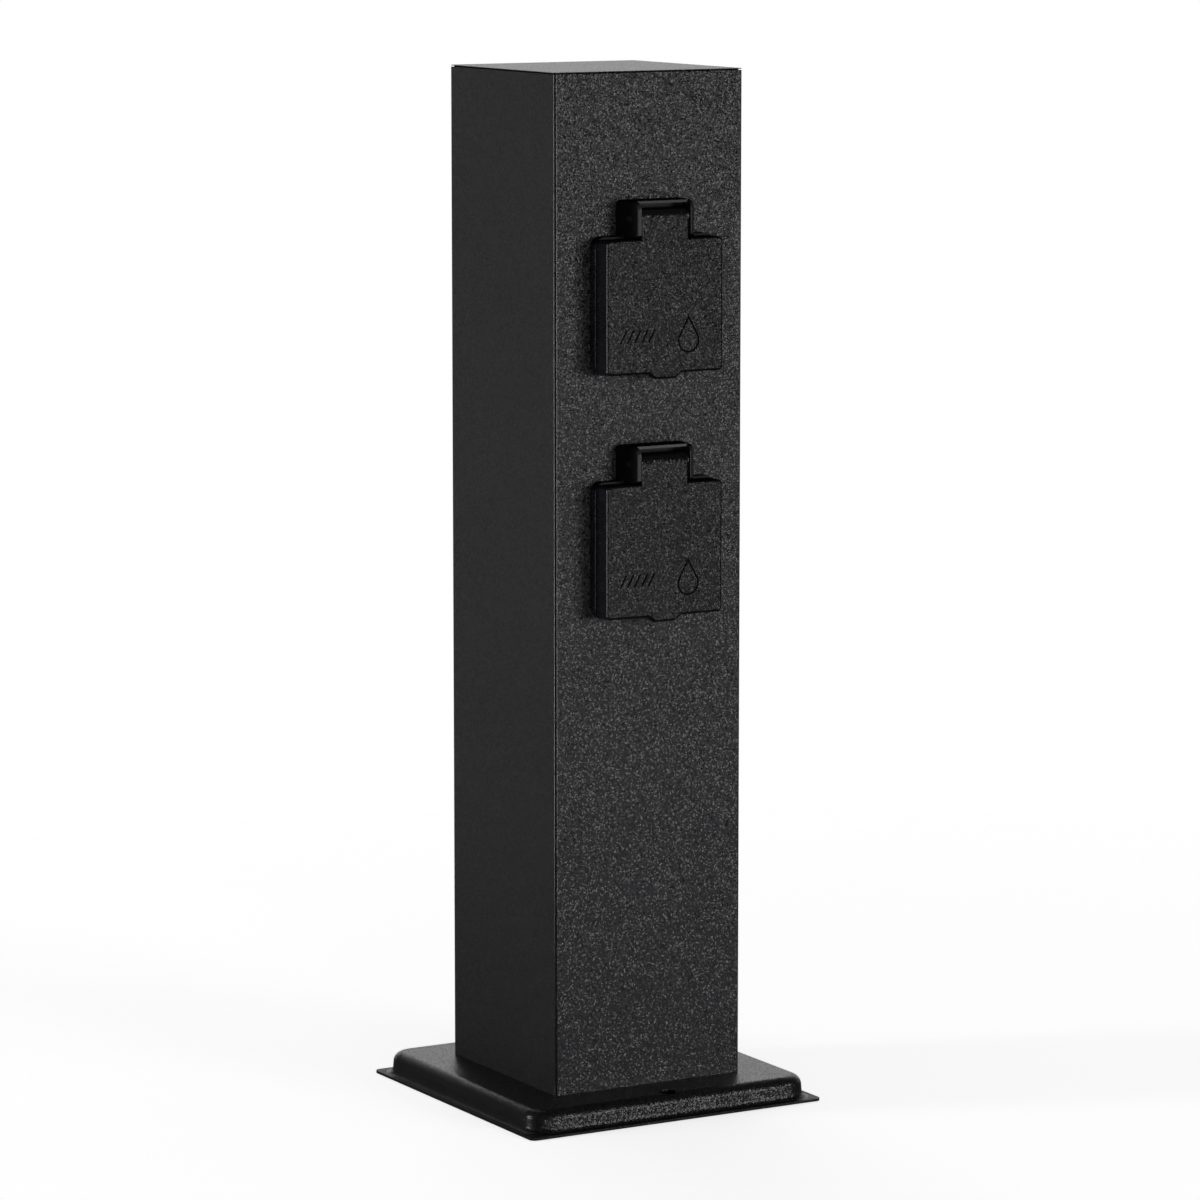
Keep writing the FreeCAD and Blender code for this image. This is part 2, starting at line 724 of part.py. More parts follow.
def lid(z):
    """The lid: a shallow tray over the flange, with a tongue, a hinge barrel and a finger tab."""
    pin_z = z + pin_rise
    tray = upright_plate(lid_width, lid_height, lid_corner, lid_front, lid_back, z)
    front_rim = [edge for edge in tray.Edges if near(edge.CenterOfMass.y, lid_front)]
    tray = tray.makeFillet(lid_edge, front_rim)
    pocket = upright_plate(lid_width - 2 * lid_skirt_wall, lid_height - 2 * lid_skirt_wall,
                           lid_inner_corner, lid_inside, lid_back + 1, z)
    tray = tray.cut(pocket)
    rib_outer = recess_bore / 2 - seal_overlap - pin_running_gap
    rib = rod_y(rib_outer, 0, lid_inside - lid_front_wall / 2, lid_inside + seal_rib_rise, z)
    rib = rib.cut(rod_y(rib_outer - seal_rib, 0, lid_inside, lid_inside + seal_rib_rise, z))
    lid_low = z - lid_height / 2
    lid_high = z + lid_height / 2
    outline = [(-tab_root / 2, lid_low + lid_edge), (tab_root / 2, lid_low + lid_edge),
               (tab_root / 2, lid_low), (tab_tip / 2, lid_low - tab_drop),
               (-tab_tip / 2, lid_low - tab_drop), (-tab_root / 2, lid_low)]
    tab = prism(outline, lambda x, h: vector(x, lid_front, h), vector(0, tab_thickness, 0))
    half = tongue_width / 2
    tongue = block(-half, half, lid_front, lid_front + tongue_thickness, lid_high - lid_skirt_wall, pin_z)
    barrel = rod_x(barrel_radius, -half, half, pin_y, pin_z)
    shape = tray.fuse([rib, tab, tongue, barrel])
    reach = spring_radius + spring_wire / 2 + spring_clearance
    notch = rod_x(reach, -spring_notch / 2, spring_notch / 2, pin_y, pin_z)
    notch = notch.fuse(block(-spring_notch / 2, spring_notch / 2, pin_y - reach, flange_front,
                             lid_high, pin_z))
    notch = notch.fuse(block(-spring_notch / 2, spring_notch / 2, pin_y, flange_front, pin_z, pin_z + reach))
    shape = shape.cut(notch)
    bore = rod_x(pin_radius + pin_running_gap, -half - 1, half + 1, pin_y, pin_z)
    return shape.cut(bore).removeSplitter()


def lid_seal(z):
    """The soft ring inside the lid that closes on the recess rim."""
    inner = recess_bore / 2 - seal_overlap
    outer = cup_radius + seal_overlap
    ring = rod_y(outer, 0, lid_inside, lid_inside + seal_thickness, z)
    return ring.cut(rod_y(inner, 0, lid_inside - 1, lid_inside + seal_thickness + 1, z))


def hinge_pin(z):
    reach = cheek_outer - pin_end_inset
    return rod_x(pin_radius, -reach, reach, pin_y, z + pin_rise)


def lid_spring(z):
    """The torsion spring round the pin: one leg on the flange, the other on the tongue."""
    pin_z = z + pin_rise
    room = flange_front - pin_y - spring_wire / 2 - spring_flange_gap
    lean = math.asin(room / math.hypot(spring_radius, spring_fixed_leg))
    lean -= math.atan2(spring_radius, spring_fixed_leg)
    sweep = 2 * math.pi * spring_turns + math.pi - lean
    rise = spring_pitch / (2 * math.pi)
    x_start = -rise * sweep / 2

    def place(angle):
        return vector(x_start + rise * (angle - lean), pin_y + spring_radius * math.cos(angle),
                      pin_z + spring_radius * math.sin(angle))

    def heading(angle):
        slope = vector(rise, -spring_radius * math.sin(angle), spring_radius * math.cos(angle))
        return slope.normalize()

    steps = math.ceil(sweep / (math.pi / 2))
    angles = [lean + sweep * step / steps for step in range(steps + 1)]
    start = place(angles[0]) - heading(angles[0]) * spring_fixed_leg
    end = place(angles[-1]) + heading(angles[-1]) * spring_free_leg
    edges = [Part.LineSegment(start, place(angles[0])).toShape()]
    for first, second in zip(angles, angles[1:]):
        edges += biarc(place(first), heading(first), place(second), heading(second))
    edges.append(Part.LineSegment(place(angles[-1]), end).toShape())
    turn_points = [place(lean + sweep * step / 400) for step in range(401)]
    turn_step = round(400 * 2 * math.pi / sweep)
    gap = min((turn_points[i] - turn_points[j]).Length
              for i in range(401) for j in range(i + turn_step // 2, 401))
    print("lid spring least gap to itself", round(gap - spring_wire, 3))
    return swept_round(edges, spring_wire / 2, start, heading(angles[0]))


def contact_carrier(z):
    """The insulating carrier behind the floor, with a shutter pocket, contact bores and clip grooves."""
    body = rod_y(carrier_radius, 0, floor_back, carrier_back, z)
    pocket = rod_y(shutter_pocket_radius, 0, floor_back - 1, pocket_back, z)
    boss = rod_y(hub_boss, 0, floor_back, pocket_back, z)
    body = body.cut(pocket).fuse(boss)
    for angle in stop_angles():
        x = stop_radius * math.cos(angle)
        dz = stop_radius * math.sin(angle)
        body = body.fuse(rod_y(stop_post, x, floor_back, pocket_back, z + dz))
    for side in (-1, 1):
        bore = contact_radius + contact_wall_gap
        body = body.cut(rod_y(bore, side * pin_spacing / 2, pocket_back, carrier_back + 1, z))
        groove_half = clip_width / 2 + clip_slot_gap
        low = clip_root - clip_sheet - clip_slot_gap
        groove = sorted((z + side * low, z + side * (carrier_radius + 1)))
        body = body.cut(block(-groove_half, groove_half, floor_back - 1, carrier_back + 1,
                              groove[0], groove[1]))
    screw_bore = rod_y(face_screw / 2 + pin_tight_gap, 0, floor_back - 1,
                       floor_front + face_screw_length + 1, z)
    return body.cut(screw_bore).removeSplitter()


def stop_angles():
    """Where the two posts stand that stop the shutter at rest and fully turned."""
    clear = math.asin((shutter_blade / 2 + stop_post + shutter_gap) / stop_radius)
    travel = math.radians(shutter_travel)
    return (-clear, math.pi + travel + clear)


def shutter(z):
    """The turning shutter: two blades on a hub that cover the pin holes at rest."""
    low = floor_back + shutter_gap
    high = low + shutter_thickness
    disc = rod_y(shutter_reach, 0, low, high, z)
    blades = disc.common(block(-shutter_reach, shutter_reach, low, high,
                               z - shutter_blade / 2, z + shutter_blade / 2))
    plate = blades.fuse(rod_y(shutter_hub, 0, low, high, z))
    return plate.cut(rod_y(hub_boss + hub_running_gap, 0, low - 1, high + 1, z)).removeSplitter()


def shutter_spring(z):
    """A bent leaf from the pocket's wall to the blade's edge."""
    tip_z = shutter_blade / 2 + leaf_thickness / 2 + pin_tight_gap
    points = [(leaf_anchor_x, shutter_pocket_radius - leaf_anchor_gap),
              (leaf_bend_x, shutter_pocket_radius - leaf_bend_gap), (leaf_slope_x, leaf_slope_z),
              (leaf_foot_x, tip_z + leaf_foot_rise), (leaf_tip_x, tip_z)]
    low = floor_back + shutter_gap + (shutter_thickness - leaf_width) / 2
    return prism(strip_outline(points, leaf_thickness), lambda x, h: vector(x, low, z + h),
                 vector(0, leaf_width, 0))


def face_screw_solid(z):
    """The screw in the middle of the recess floor that holds the carrier."""
    head = rod_y(face_screw_head / 2, 0, floor_front - face_screw_head_height, floor_front, z)
    head_front = floor_front - face_screw_head_height
    rim = [edge for edge in head.Edges if near(edge.CenterOfMass.y, head_front)]
    head = head.makeFillet(face_screw_head_round, rim[:1])
    shank = rod_y(face_screw / 2, 0, floor_front, floor_front + face_screw_length, z)
    half = driver_slot_width / 2
    slot = block(-face_screw_head, face_screw_head, head_front - 1, head_front + driver_slot_depth,
                 z - half, z + half)
    return head.fuse(shank).cut(slot).removeSplitter()


def pin_contacts(z):
    """The live and neutral sleeves, each with its terminal block behind the carrier."""
    contacts = []
    half = terminal_size / 2
    for side in (-1, 1):
        x = side * pin_spacing / 2
        contact = rod_y(contact_radius, x, pocket_back + contact_front_gap, carrier_back, z)
        contact = contact.fuse(block(x - half, x + half, carrier_back, carrier_back + terminal_size,
                                     z - half, z + half))
        contact = contact.cut(rod_y(contact_bore, x, pocket_back, carrier_back - contact_bottom, z))
        contact = contact.cut(block(x - contact_slit / 2, x + contact_slit / 2, pocket_back,
                                    carrier_back - contact_slit_end, z, z + contact_radius + 1))
        contacts.append(cut_terminal(contact, x, z))
    return contacts


def cut_terminal(metal, x, z):
    """Cut the wire bore and the screw bore of a terminal block centred on x and z."""
    half = terminal_size / 2
    metal = metal.cut(rod_z(terminal_bore / 2, x, terminal_y, z - half - 1, z + half + 1))
    back = carrier_back + terminal_size + 1
    return metal.cut(rod_y(terminal_screw / 2 + pin_tight_gap, x, terminal_y, back, z)).removeSplitter()


def earth_clips(z):
    """The earth strap: a web behind the carrier, two arms whose bowed ends stand in the recess."""
    web_y = carrier_back + clip_sheet / 2
    bend_y = rim_y + clip_bend_depth
    touch_y = rim_y + clip_touch_depth
    end_y = rim_y + clip_end_depth
    root = clip_root - clip_sheet / 2
    upper = [(end_y, clip_end), (touch_y, clip_touch), (bend_y, clip_back), (floor_front, root),
             (web_y, root)]
    lower = [(y, -h) for y, h in reversed(upper)]
    strap = prism(strip_outline(upper + lower, clip_sheet),
                  lambda y, h: vector(-clip_width / 2, y, z + h), vector(clip_width, 0, 0))
    rise = z + earth_terminal_rise
    half = terminal_size / 2
    base = carrier_back + clip_sheet
    terminal = block(-half, half, base - clip_sheet / 2, carrier_back + terminal_size,
                     rise - half, rise + half)
    return cut_terminal(strap.fuse(terminal), 0, rise)


def terminal_screws(z):
    """The three wire screws of an outlet's terminals."""
    screws = []
    shank_start = terminal_y + wire_diameter / 2
    head_start = carrier_back + terminal_size + terminal_head_stand
    head_end = head_start + terminal_head_height
    half = driver_slot_width / 2
    for x, dz in ((-pin_spacing / 2, 0), (pin_spacing / 2, 0), (0, earth_terminal_rise)):
        screw = rod_y(terminal_screw / 2, x, shank_start, head_start, z + dz)
        screw = screw.fuse(rod_y(terminal_head / 2, x, head_start, head_end, z + dz))
        slot = block(x - terminal_head, x + terminal_head, head_end - driver_slot_depth, head_end + 1,
                     z + dz - half, z + dz + half)
        screws.append(screw.cut(slot).removeSplitter())
    return screws


def terminal_rail():
    """The hat-shaped bracket welded to the rear wall, which carries the terminal block."""
    web_y = (rail_web_front + rail_web_back) / 2
    foot_y = column_inside - rail_sheet / 2
    step = block_width / 2 + rail_sheet
    points = [(-step - rail_foot, foot_y), (-step, foot_y), (-step, web_y),
              (step, web_y), (step, foot_y), (step + rail_foot, foot_y)]
    low = block_base + block_height / 2 - rail_height / 2
    rail = prism(strip_outline(points, rail_sheet), lambda x, y: vector(x, y, low),
                 vector(0, 0, rail_height))
    for x, z in rail_screw_places():
        rail = rail.cut(rod_y(rail_screw / 2 + hole_clearance, x, rail_web_front - 1, rail_web_back + 1, z))
    return rail


def rail_screw_places():
    middle = block_base + block_height / 2
    return [(-rail_screw_offset, middle), (rail_screw_offset, middle)]


def clamp_places():
    return [-block_pitch, 0, block_pitch]


def terminal_block():
    """The supply terminal block: three poles side by side, wires from above and below."""
    body = block(-block_width / 2, block_width / 2, block_front, rail_web_front, block_base, block_top)
    body = round_edges(body, block_edge, lambda p: near(p.y, block_front))
    for x in clamp_places():
        body = body.cut(rod_z(clamp_radius + pin_tight_gap, x, clamp_y, block_base - 1, block_top + 1))
        for z in clamp_screw_heights():
            body = body.cut(rod_y(clamp_screw / 2 + clamp_screw_access, x, block_front - 1, clamp_y, z))
    for x, z in rail_screw_places():
        body = body.cut(rod_y(rail_screw / 2 + hole_clearance, x, block_front - 1, rail_web_front + 1, z))
    for x in (-block_pitch / 2, block_pitch / 2):
        groove = block(x - block_groove / 2, x + block_groove / 2, block_front - 1,
                       block_front + block_groove_depth, block_base - 1, block_top + 1)
        body = body.cut(groove)
    return body.removeSplitter()


def clamp_screw_heights():
    middle = block_base + block_height / 2
    return (middle - clamp_screw_spacing / 2, middle + clamp_screw_spacing / 2)


def block_metal():
    """Brass clamp tubes and their screws."""
    clamps = []
    screws = []
    for x in clamp_places():
        clamp = rod_z(clamp_radius, x, clamp_y, block_base + clamp_inset, block_top - clamp_inset)
        clamp = clamp.cut(rod_z(clamp_bore, x, clamp_y, block_base, block_top))
        for z in clamp_screw_heights():
            start = block_front + clamp_screw_sink
            screw = rod_y(clamp_screw / 2, x, start, clamp_y - wire_diameter / 2 - pin_tight_gap, z)
            slot = block(x - clamp_screw, x + clamp_screw, start - 1, start + small_slot_depth,
                         z - small_slot_width / 2, z + small_slot_width / 2)
            screws.append(screw.cut(slot))
            clamp = clamp.cut(rod_y(clamp_screw / 2 + pin_tight_gap, x, start, clamp_y, z))
        clamps.append(clamp)
    return {"block_clamps": clamps, "block_clamp_screws": screws}


def rail_fasteners():
    """Screws and nuts that hold the terminal block on its bracket."""
    solids = []
    nut_back = rail_web_back + rail_nut_height
    head_front = block_front - rail_screw_head_height
    for x, z in rail_screw_places():
        screw = rod_y(rail_screw / 2, x, block_front, nut_back + rail_screw_end, z)
        head = rod_y(rail_screw_head / 2, x, head_front, block_front, z)
        slot = block(x - rail_screw_head, x + rail_screw_head, head_front - 1, head_front + small_slot_depth,
                     z - small_slot_width / 2, z + small_slot_width / 2)
        solids.append(screw.fuse(head).cut(slot).removeSplitter())
        nut = hex_prism(rail_nut_flats, vector(x, rail_web_back, z), vector(0, 1, 0), rail_nut_height)
        opening = rod_y(rail_screw / 2 + pin_tight_gap, x, rail_web_back - 1, nut_back + 1, z)
        solids.append(nut.cut(opening))
    return solids


def earth_stud_set():
    """The welded earth stud with washer, ring lug and two nuts stacked on the rear wall."""
    forward = vector(0, -1, 0)
    stud = rod_y(stud_diameter / 2, stud_x, column_inside - stud_length, column_inside, stud_z)
    opening = rod_y(stud_diameter / 2 + pin_tight_gap, stud_x, 0, column_inside + 1, stud_z)
    first_front = lug_y
    lug_front = first_front - lug_thickness
    washer_front = lug_front - stud_washer_thickness
    first_nut = hex_prism(stud_nut_flats, vector(stud_x, column_inside, stud_z), forward, stud_nut_height)
    washer = rod_y(stud_washer / 2, stud_x, washer_front, lug_front, stud_z)
    second_nut = hex_prism(stud_nut_flats, vector(stud_x, washer_front, stud_z), forward, stud_nut_height)
    nuts = [first_nut.cut(opening), washer.cut(opening), second_nut.cut(opening)]
    ring = rod_y(lug_ring, stud_x, lug_front, first_front, stud_z)
    barrel_low = stud_z + lug_reach - lug_barrel
    neck = block(stud_x - lug_neck / 2, stud_x + lug_neck / 2, lug_front, first_front, stud_z,
                 barrel_low + 1)
    bore = wire_diameter / 2 + pin_tight_gap
    barrel = rod_z(bore + lug_barrel_wall, stud_x, lug_y, barrel_low, stud_z + lug_reach)
    lug = ring.fuse([neck, barrel]).cut(opening)
    lug = lug.cut(rod_z(bore, stud_x, lug_y, barrel_low + 1, stud_z + lug_reach + 1))
    return {"earth_stud": stud, "earth_stud_nuts": nuts, "ring_lug": lug.removeSplitter()}


def between(low, high, share):
    return low + share * (high - low)


def wire_to_lower(clamp_x, x, entry):
    """The route from a clamp of the terminal block up to a terminal of the lower outlet."""
    route = [(clamp_x, clamp_y, block_top - clamp_entry)]
    for place_x, rise, depth in ((clamp_x, 0.2, 0), (clamp_x, 0.45, 0.4), (x, 0.7, 0.95), (x, 0.88, 1)):
        y = between(clamp_y, terminal_y, depth)
        route.append((place_x, y, between(block_top, entry, rise)))
    route.append((x, terminal_y, entry + wire_entry))
    return route


def wire_to_upper(x, start, entry):
    """The route from a terminal of the lower outlet to the same one of the upper outlet."""
    route = [(x, terminal_y, start - wire_entry)]
    for rise, bow in ((0.17, 0), (0.41, 1), (0.64, 0.9), (0.855, 0)):
        route.append((x, terminal_y + wire_bow * bow, between(start, entry, rise)))
    route.append((x, terminal_y, entry + wire_entry))
    return route


def bond_wire():
    """The route from the ring lug on the earth stud to the terminal block's middle clamp."""
    lug_top = stud_z + lug_reach
    route = [(stud_x, lug_y, lug_top - wire_entry)]
    for across, back, rise in ((0, 0, 0.245), (0.41, 0.5, 0.49), (1, 1, 0.695)):
        x = between(stud_x, 0, across)
        y = between(lug_y, clamp_y, back)
        route.append((x, y, between(lug_top, block_base, rise)))
    route.append((0, clamp_y, block_base + clamp_entry))
    return route


def wires():
    """Wires from the terminal block to the lower outlet, and on to the upper one."""
    lower = outlet_centres["lower"]
    upper = outlet_centres["upper"]
    half = terminal_size / 2
    colours = {"live_wires": [], "neutral_wires": [], "earth_wires": []}
    poles = (("live_wires", -block_pitch, -pin_spacing / 2, 0),
             ("earth_wires", 0, 0, earth_terminal_rise),
             ("neutral_wires", block_pitch, pin_spacing / 2, 0))
    for name, clamp_x, x, rise in poles:
        first = wire_to_lower(clamp_x, x, lower + rise - half)
        second = wire_to_upper(x, lower + rise + half, upper + rise - half)
        for route in (first, second):
            colours[name].append(wire_along(route, wire_diameter))
    colours["earth_wires"].append(wire_along(bond_wire(), wire_diameter))
    return colours


def outlet(name, z):
    """Every piece of one outlet, named after its place on the column."""
    return {
        name + "_gasket": flange_gasket(z),
        name + "_socket_body": socket_body(z),
        name + "_lid": lid(z),
        name + "_lid_seal": lid_seal(z),
        name + "_hinge_pin": hinge_pin(z),
        name + "_lid_spring": lid_spring(z),
        name + "_contact_carrier": contact_carrier(z),
        name + "_shutter": shutter(z),
        name + "_shutter_spring": shutter_spring(z),
        name + "_face_screw": face_screw_solid(z),
        name + "_pin_contacts": pin_contacts(z),
        name + "_earth_clips": earth_clips(z),
        name + "_terminal_screws": terminal_screws(z),
    }


def all_pieces():
    pieces = {
        "base_plate": base_plate(),
        "column_shell": column_shell(),
        "top_cap": top_cap(),
        "left_foot_bracket": foot_bracket(-1),
        "right_foot_bracket": foot_bracket(1),
        "terminal_rail": terminal_rail(),
        "terminal_block": terminal_block(),
        "terminal_block_fasteners": rail_fasteners(),
    }
    for group in (foot_fasteners(), gland(), outlet_fasteners(), block_metal(), earth_stud_set(), wires()):
        pieces.update(group)
    for name, z in outlet_centres.items():
        pieces.update(outlet(name, z))
    return pieces


def export(name, shape):
    if isinstance(shape, list):
        shape = Part.makeCompound([solid for item in shape for solid in item.Solids])
    elif len(shape.Solids) == 1:
        shape = shape.Solids[0]
    print(name, "solids", len(shape.Solids), "valid", shape.isValid(), "volume", round(shape.Volume, 1))
    shape.exportStep("parts/" + name + ".step")


os.makedirs("parts", exist_ok=True)
for piece_name, piece_shape in all_pieces().items():
    export(piece_name, piece_shape)
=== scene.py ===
import bmesh
import bpy
import json
import math
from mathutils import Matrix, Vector


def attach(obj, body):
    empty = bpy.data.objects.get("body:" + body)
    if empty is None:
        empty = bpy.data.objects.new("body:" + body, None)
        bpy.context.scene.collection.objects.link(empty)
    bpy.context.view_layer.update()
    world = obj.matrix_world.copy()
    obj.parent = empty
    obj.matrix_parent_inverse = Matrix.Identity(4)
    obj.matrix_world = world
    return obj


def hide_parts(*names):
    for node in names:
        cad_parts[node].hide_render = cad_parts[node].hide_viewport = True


# Outdoor socket column on a pressed base plate. Its pieces are given in millimetres,
# and the camera, the lamps and the floor in metres.
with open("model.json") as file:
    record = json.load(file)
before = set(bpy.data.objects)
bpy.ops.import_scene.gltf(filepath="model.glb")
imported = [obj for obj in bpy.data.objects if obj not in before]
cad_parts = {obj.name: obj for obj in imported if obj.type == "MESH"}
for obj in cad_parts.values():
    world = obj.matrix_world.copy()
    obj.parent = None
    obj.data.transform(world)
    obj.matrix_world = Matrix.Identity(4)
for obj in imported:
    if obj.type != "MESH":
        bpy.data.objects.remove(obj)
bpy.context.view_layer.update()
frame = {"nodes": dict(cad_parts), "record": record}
mm = 0.001
near = 0.01  # what counts as the same place
straight = 0.999  # the share of its length that an edge runs along an axis
spare = 1  # how far a cutter reaches past what it cuts
flatAngle = 0.5  # degrees between faces that count as one flat
shadeAngles = {"metal": 40, "moulding": 35, "wire": 50, "rubber": 45}  # degrees up to which edges look round
turn = {"X": (0, math.pi / 2, 0), "Y": (-math.pi / 2, 0, 0), "Z": (0, 0, 0)}  # lays a rod along an axis
sides = {"small": 24, "hole": 32, "bore": 40, "notch": 48, "gland": 64, "barrel": 72, "cup": 96}  # of a rod


def pickOnly(*pieces):
    if bpy.context.object and bpy.context.object.mode != "OBJECT":
        bpy.ops.object.mode_set(mode="OBJECT")
    bpy.ops.object.select_all(action="DESELECT")
    for piece in pieces:
        piece.select_set(True)
    bpy.context.view_layer.objects.active = pieces[0]


def settle(piece, name):  # the place goes into the mesh
    pickOnly(piece)
    bpy.ops.object.transform_apply(location=True, rotation=True, scale=True)
    piece.name = piece.data.name = name
    return piece


def addBlock(name, low, high):
    bpy.ops.object.select_all(action="DESELECT")
    middle = [(a + b) / 2 * mm for a, b in zip(low, high)]
    size = [(b - a) * mm for a, b in zip(low, high)]
    bpy.ops.mesh.primitive_cube_add(size=1, location=middle, scale=size)
    return settle(bpy.context.object, name)


def addRod(name, radius, axis, start, end, across, size, endRadius=None):
    bpy.ops.object.select_all(action="DESELECT")
    if endRadius is None:
        endRadius = radius
    place = list(across)  # where it is on the other two axes
    place.insert("XYZ".index(axis), (start + end) / 2)
    bpy.ops.mesh.primitive_cone_add(vertices=sides[size], radius1=radius * mm, radius2=endRadius * mm,
                                    depth=(end - start) * mm, location=[p * mm for p in place],
                                    rotation=turn[axis])
    return settle(bpy.context.object, name)


def inEdit(piece, kind, wanted):  # opens the mesh and picks parts by where their corners are
    pickOnly(piece)
    bpy.ops.object.mode_set(mode="EDIT")
    bpy.ops.mesh.select_mode(type=kind)
    bpy.ops.mesh.select_all(action="DESELECT")
    mesh = bmesh.from_edit_mesh(piece.data)
    parts = {"VERT": mesh.verts, "EDGE": mesh.edges, "FACE": mesh.faces}[kind]
    for part in parts:
        if kind == "VERT":
            ends = [part.co / mm]
        else:
            ends = [corner.co / mm for corner in part.verts]
        if wanted(ends):
            part.select_set(True)
    bmesh.update_edit_mesh(piece.data)


def leaveEdit():
    bpy.ops.object.mode_set(mode="OBJECT")


def allNear(ends, axis, value):
    index = "XYZ".index(axis)
    return all(abs(end[index] - value) < near for end in ends)


def runsAlong(ends, axis):  # an edge parallel to an axis
    index = "XYZ".index(axis)
    step = ends[1] - ends[0]
    return abs(step[index]) > straight * step.length


def roundOff(piece, shape, wanted):  # shape is the width of the rounding and its steps
    inEdit(piece, "EDGE", wanted)
    bpy.ops.mesh.bevel(offset=shape[0] * mm, segments=shape[1], affect="EDGES", clamp_overlap=False)
    leaveEdit()


def applyChange(piece, change):
    pickOnly(piece)
    bpy.ops.object.modifier_apply(modifier=change.name)


def combine(piece, tool, way):
    change = piece.modifiers.new(way.lower(), "BOOLEAN")
    change.operation = way
    change.solver = "EXACT"
    change.object = tool
    applyChange(piece, change)
    bpy.data.objects.remove(tool, do_unlink=True)


def cut(piece, tool):
    combine(piece, tool, "DIFFERENCE")


def fuse(piece, tool):
    combine(piece, tool, "UNION")


def cleanFlats(piece):  # boolean cuts leave needless points on flat faces
    pickOnly(piece)
    bpy.ops.object.mode_set(mode="EDIT")
    bpy.ops.mesh.select_all(action="SELECT")
    bpy.ops.mesh.remove_doubles(threshold=near * mm)
    bpy.ops.mesh.dissolve_limited(angle_limit=math.radians(flatAngle))
    leaveEdit()


def thicken(piece, sheet):  # the wall of sheet metal goes inwards
    change = piece.modifiers.new("sheet", "SOLIDIFY")
    change.thickness = sheet * mm
    change.offset = -1
    change.use_even_offset = True
    applyChange(piece, change)


def soften(piece, shape):  # shape is width, steps and the least angle of the edges
    change = piece.modifiers.new("soft edges", "BEVEL")
    change.width = shape[0] * mm
    change.segments = shape[1]
    change.limit_method = "ANGLE"
    change.angle_limit = math.radians(shape[2])
    change.miter_outer = "MITER_ARC"
    applyChange(piece, change)


def shadeRound(piece, make):
    pickOnly(piece)
    bpy.ops.object.shade_smooth_by_angle(angle=math.radians(shadeAngles[make]))
    change = piece.modifiers.new("even normals", "WEIGHTED_NORMAL")
    change.keep_sharp = True
    bpy.ops.object.modifier_apply(modifier=change.name)
    return piece


def dress(piece, body, slotName, nodes, *materials):
    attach(piece, body)
    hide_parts(*nodes)
    piece.data.materials.clear()
    for material in materials:
        piece.data.materials.append(material)


def spread(tree, value, low, high, newLow=0.0, newHigh=1.0, shape="LINEAR"):  # one range remapped to another
    node = tree.nodes.new("ShaderNodeMapRange")
    node.interpolation_type = shape
    for label, number in (("From Min", low), ("From Max", high), ("To Min", newLow), ("To Max", newHigh)):
        node.inputs[label].default_value = number
    tree.links.new(value, node.inputs["Value"])
    return node.outputs["Result"]


def sums(tree, way, first, second):
    node = tree.nodes.new("ShaderNodeMath")
    node.operation = way
    for index, value in enumerate((first, second)):
        if isinstance(value, (int, float)):
            node.inputs[index].default_value = value
        else:
            tree.links.new(value, node.inputs[index])
    return node.outputs[0]


def vectorSum(tree, way, *values):
    node = tree.nodes.new("ShaderNodeVectorMath")
    node.operation = way
    for index, value in enumerate(values):
        if isinstance(value, tuple):
            node.inputs[index].default_value = value
        else:
            tree.links.new(value, node.inputs[index])
    return node.outputs["Value" if way in ("DOT_PRODUCT", "LENGTH") else "Vector"]


def blendColours(tree, amount, first, second):
    node = tree.nodes.new("ShaderNodeMix")
    node.data_type = "RGBA"
    tree.links.new(amount, node.inputs["Factor"])
    node.inputs["A"].default_value = (*first, 1)
    node.inputs["B"].default_value = (*second, 1)
    return node.outputs["Result"]


def mixShaders(tree, amount, first, second):
    node = tree.nodes.new("ShaderNodeMixShader")
    for index, value in enumerate((amount, first, second)):
        tree.links.new(value, node.inputs[index])
    return node.outputs[0]


print("helpers ready")

# Camera: fitted to the straight edges of the column
cameraView = {"place": (-0.97439, -1.69602, 0.47524), "turnAway": -29.93, "height": 8.316, "lens": 155.99,
              "sensor": 36, "nearest": 0.05, "furthest": 50}
bpy.ops.object.camera_add(location=cameraView["place"])
camera = bpy.context.object
camera.name = "photoCamera"
away = math.radians(cameraView["turnAway"])
rise = math.radians(cameraView["height"])
back = Vector((math.sin(away) * math.cos(rise), -math.cos(away) * math.cos(rise), math.sin(rise)))
camera.rotation_euler = (-back).to_track_quat("-Z", "Y").to_euler()
camera.data.sensor_width = cameraView["sensor"]
camera.data.lens = cameraView["lens"]
camera.data.clip_start = cameraView["nearest"]
camera.data.clip_end = cameraView["furthest"]
bpy.context.scene.camera = camera

# Studio
studio = {"worldLevel": 0.15, "whiteLevel": 1.0, "darkSide": 0.05, "backdropSide": (0.5, 0.866, 0.0),
          "backdropEdge": (0.6, 0.96), "floorColour": (0.90, 0.90, 0.90), "floorBounce": (0.25, 0.25, 0.25),
          "floorSide": 6, "floorDrop": 0.0002, "floorLift": 0.7, "floorFade": (0.22, 0.75),
          "underBase": (0.056, 0.063)}
lamps = {
    "mainLamp": {"place": (0.98, -2.19, 0.37), "aim": (0, 0, 0.25), "size": (0.85, 0.68), "power": 18.2},
    "frontStrip": {"place": (-0.62, -2.3, -0.05), "aim": (0, 0, 0.1), "size": (0.3, 0.9), "power": 11.5},
    "sideStrip": {"place": (-2.1, 0.78, 0.2), "aim": (0, 0, 0.2), "size": (0.3, 1.6), "power": 22},
    "topLamp": {"place": (0.4, 1.5, 2.0), "aim": (0, 0, 0.2), "size": (1.2, 1.2), "power": 6},
}


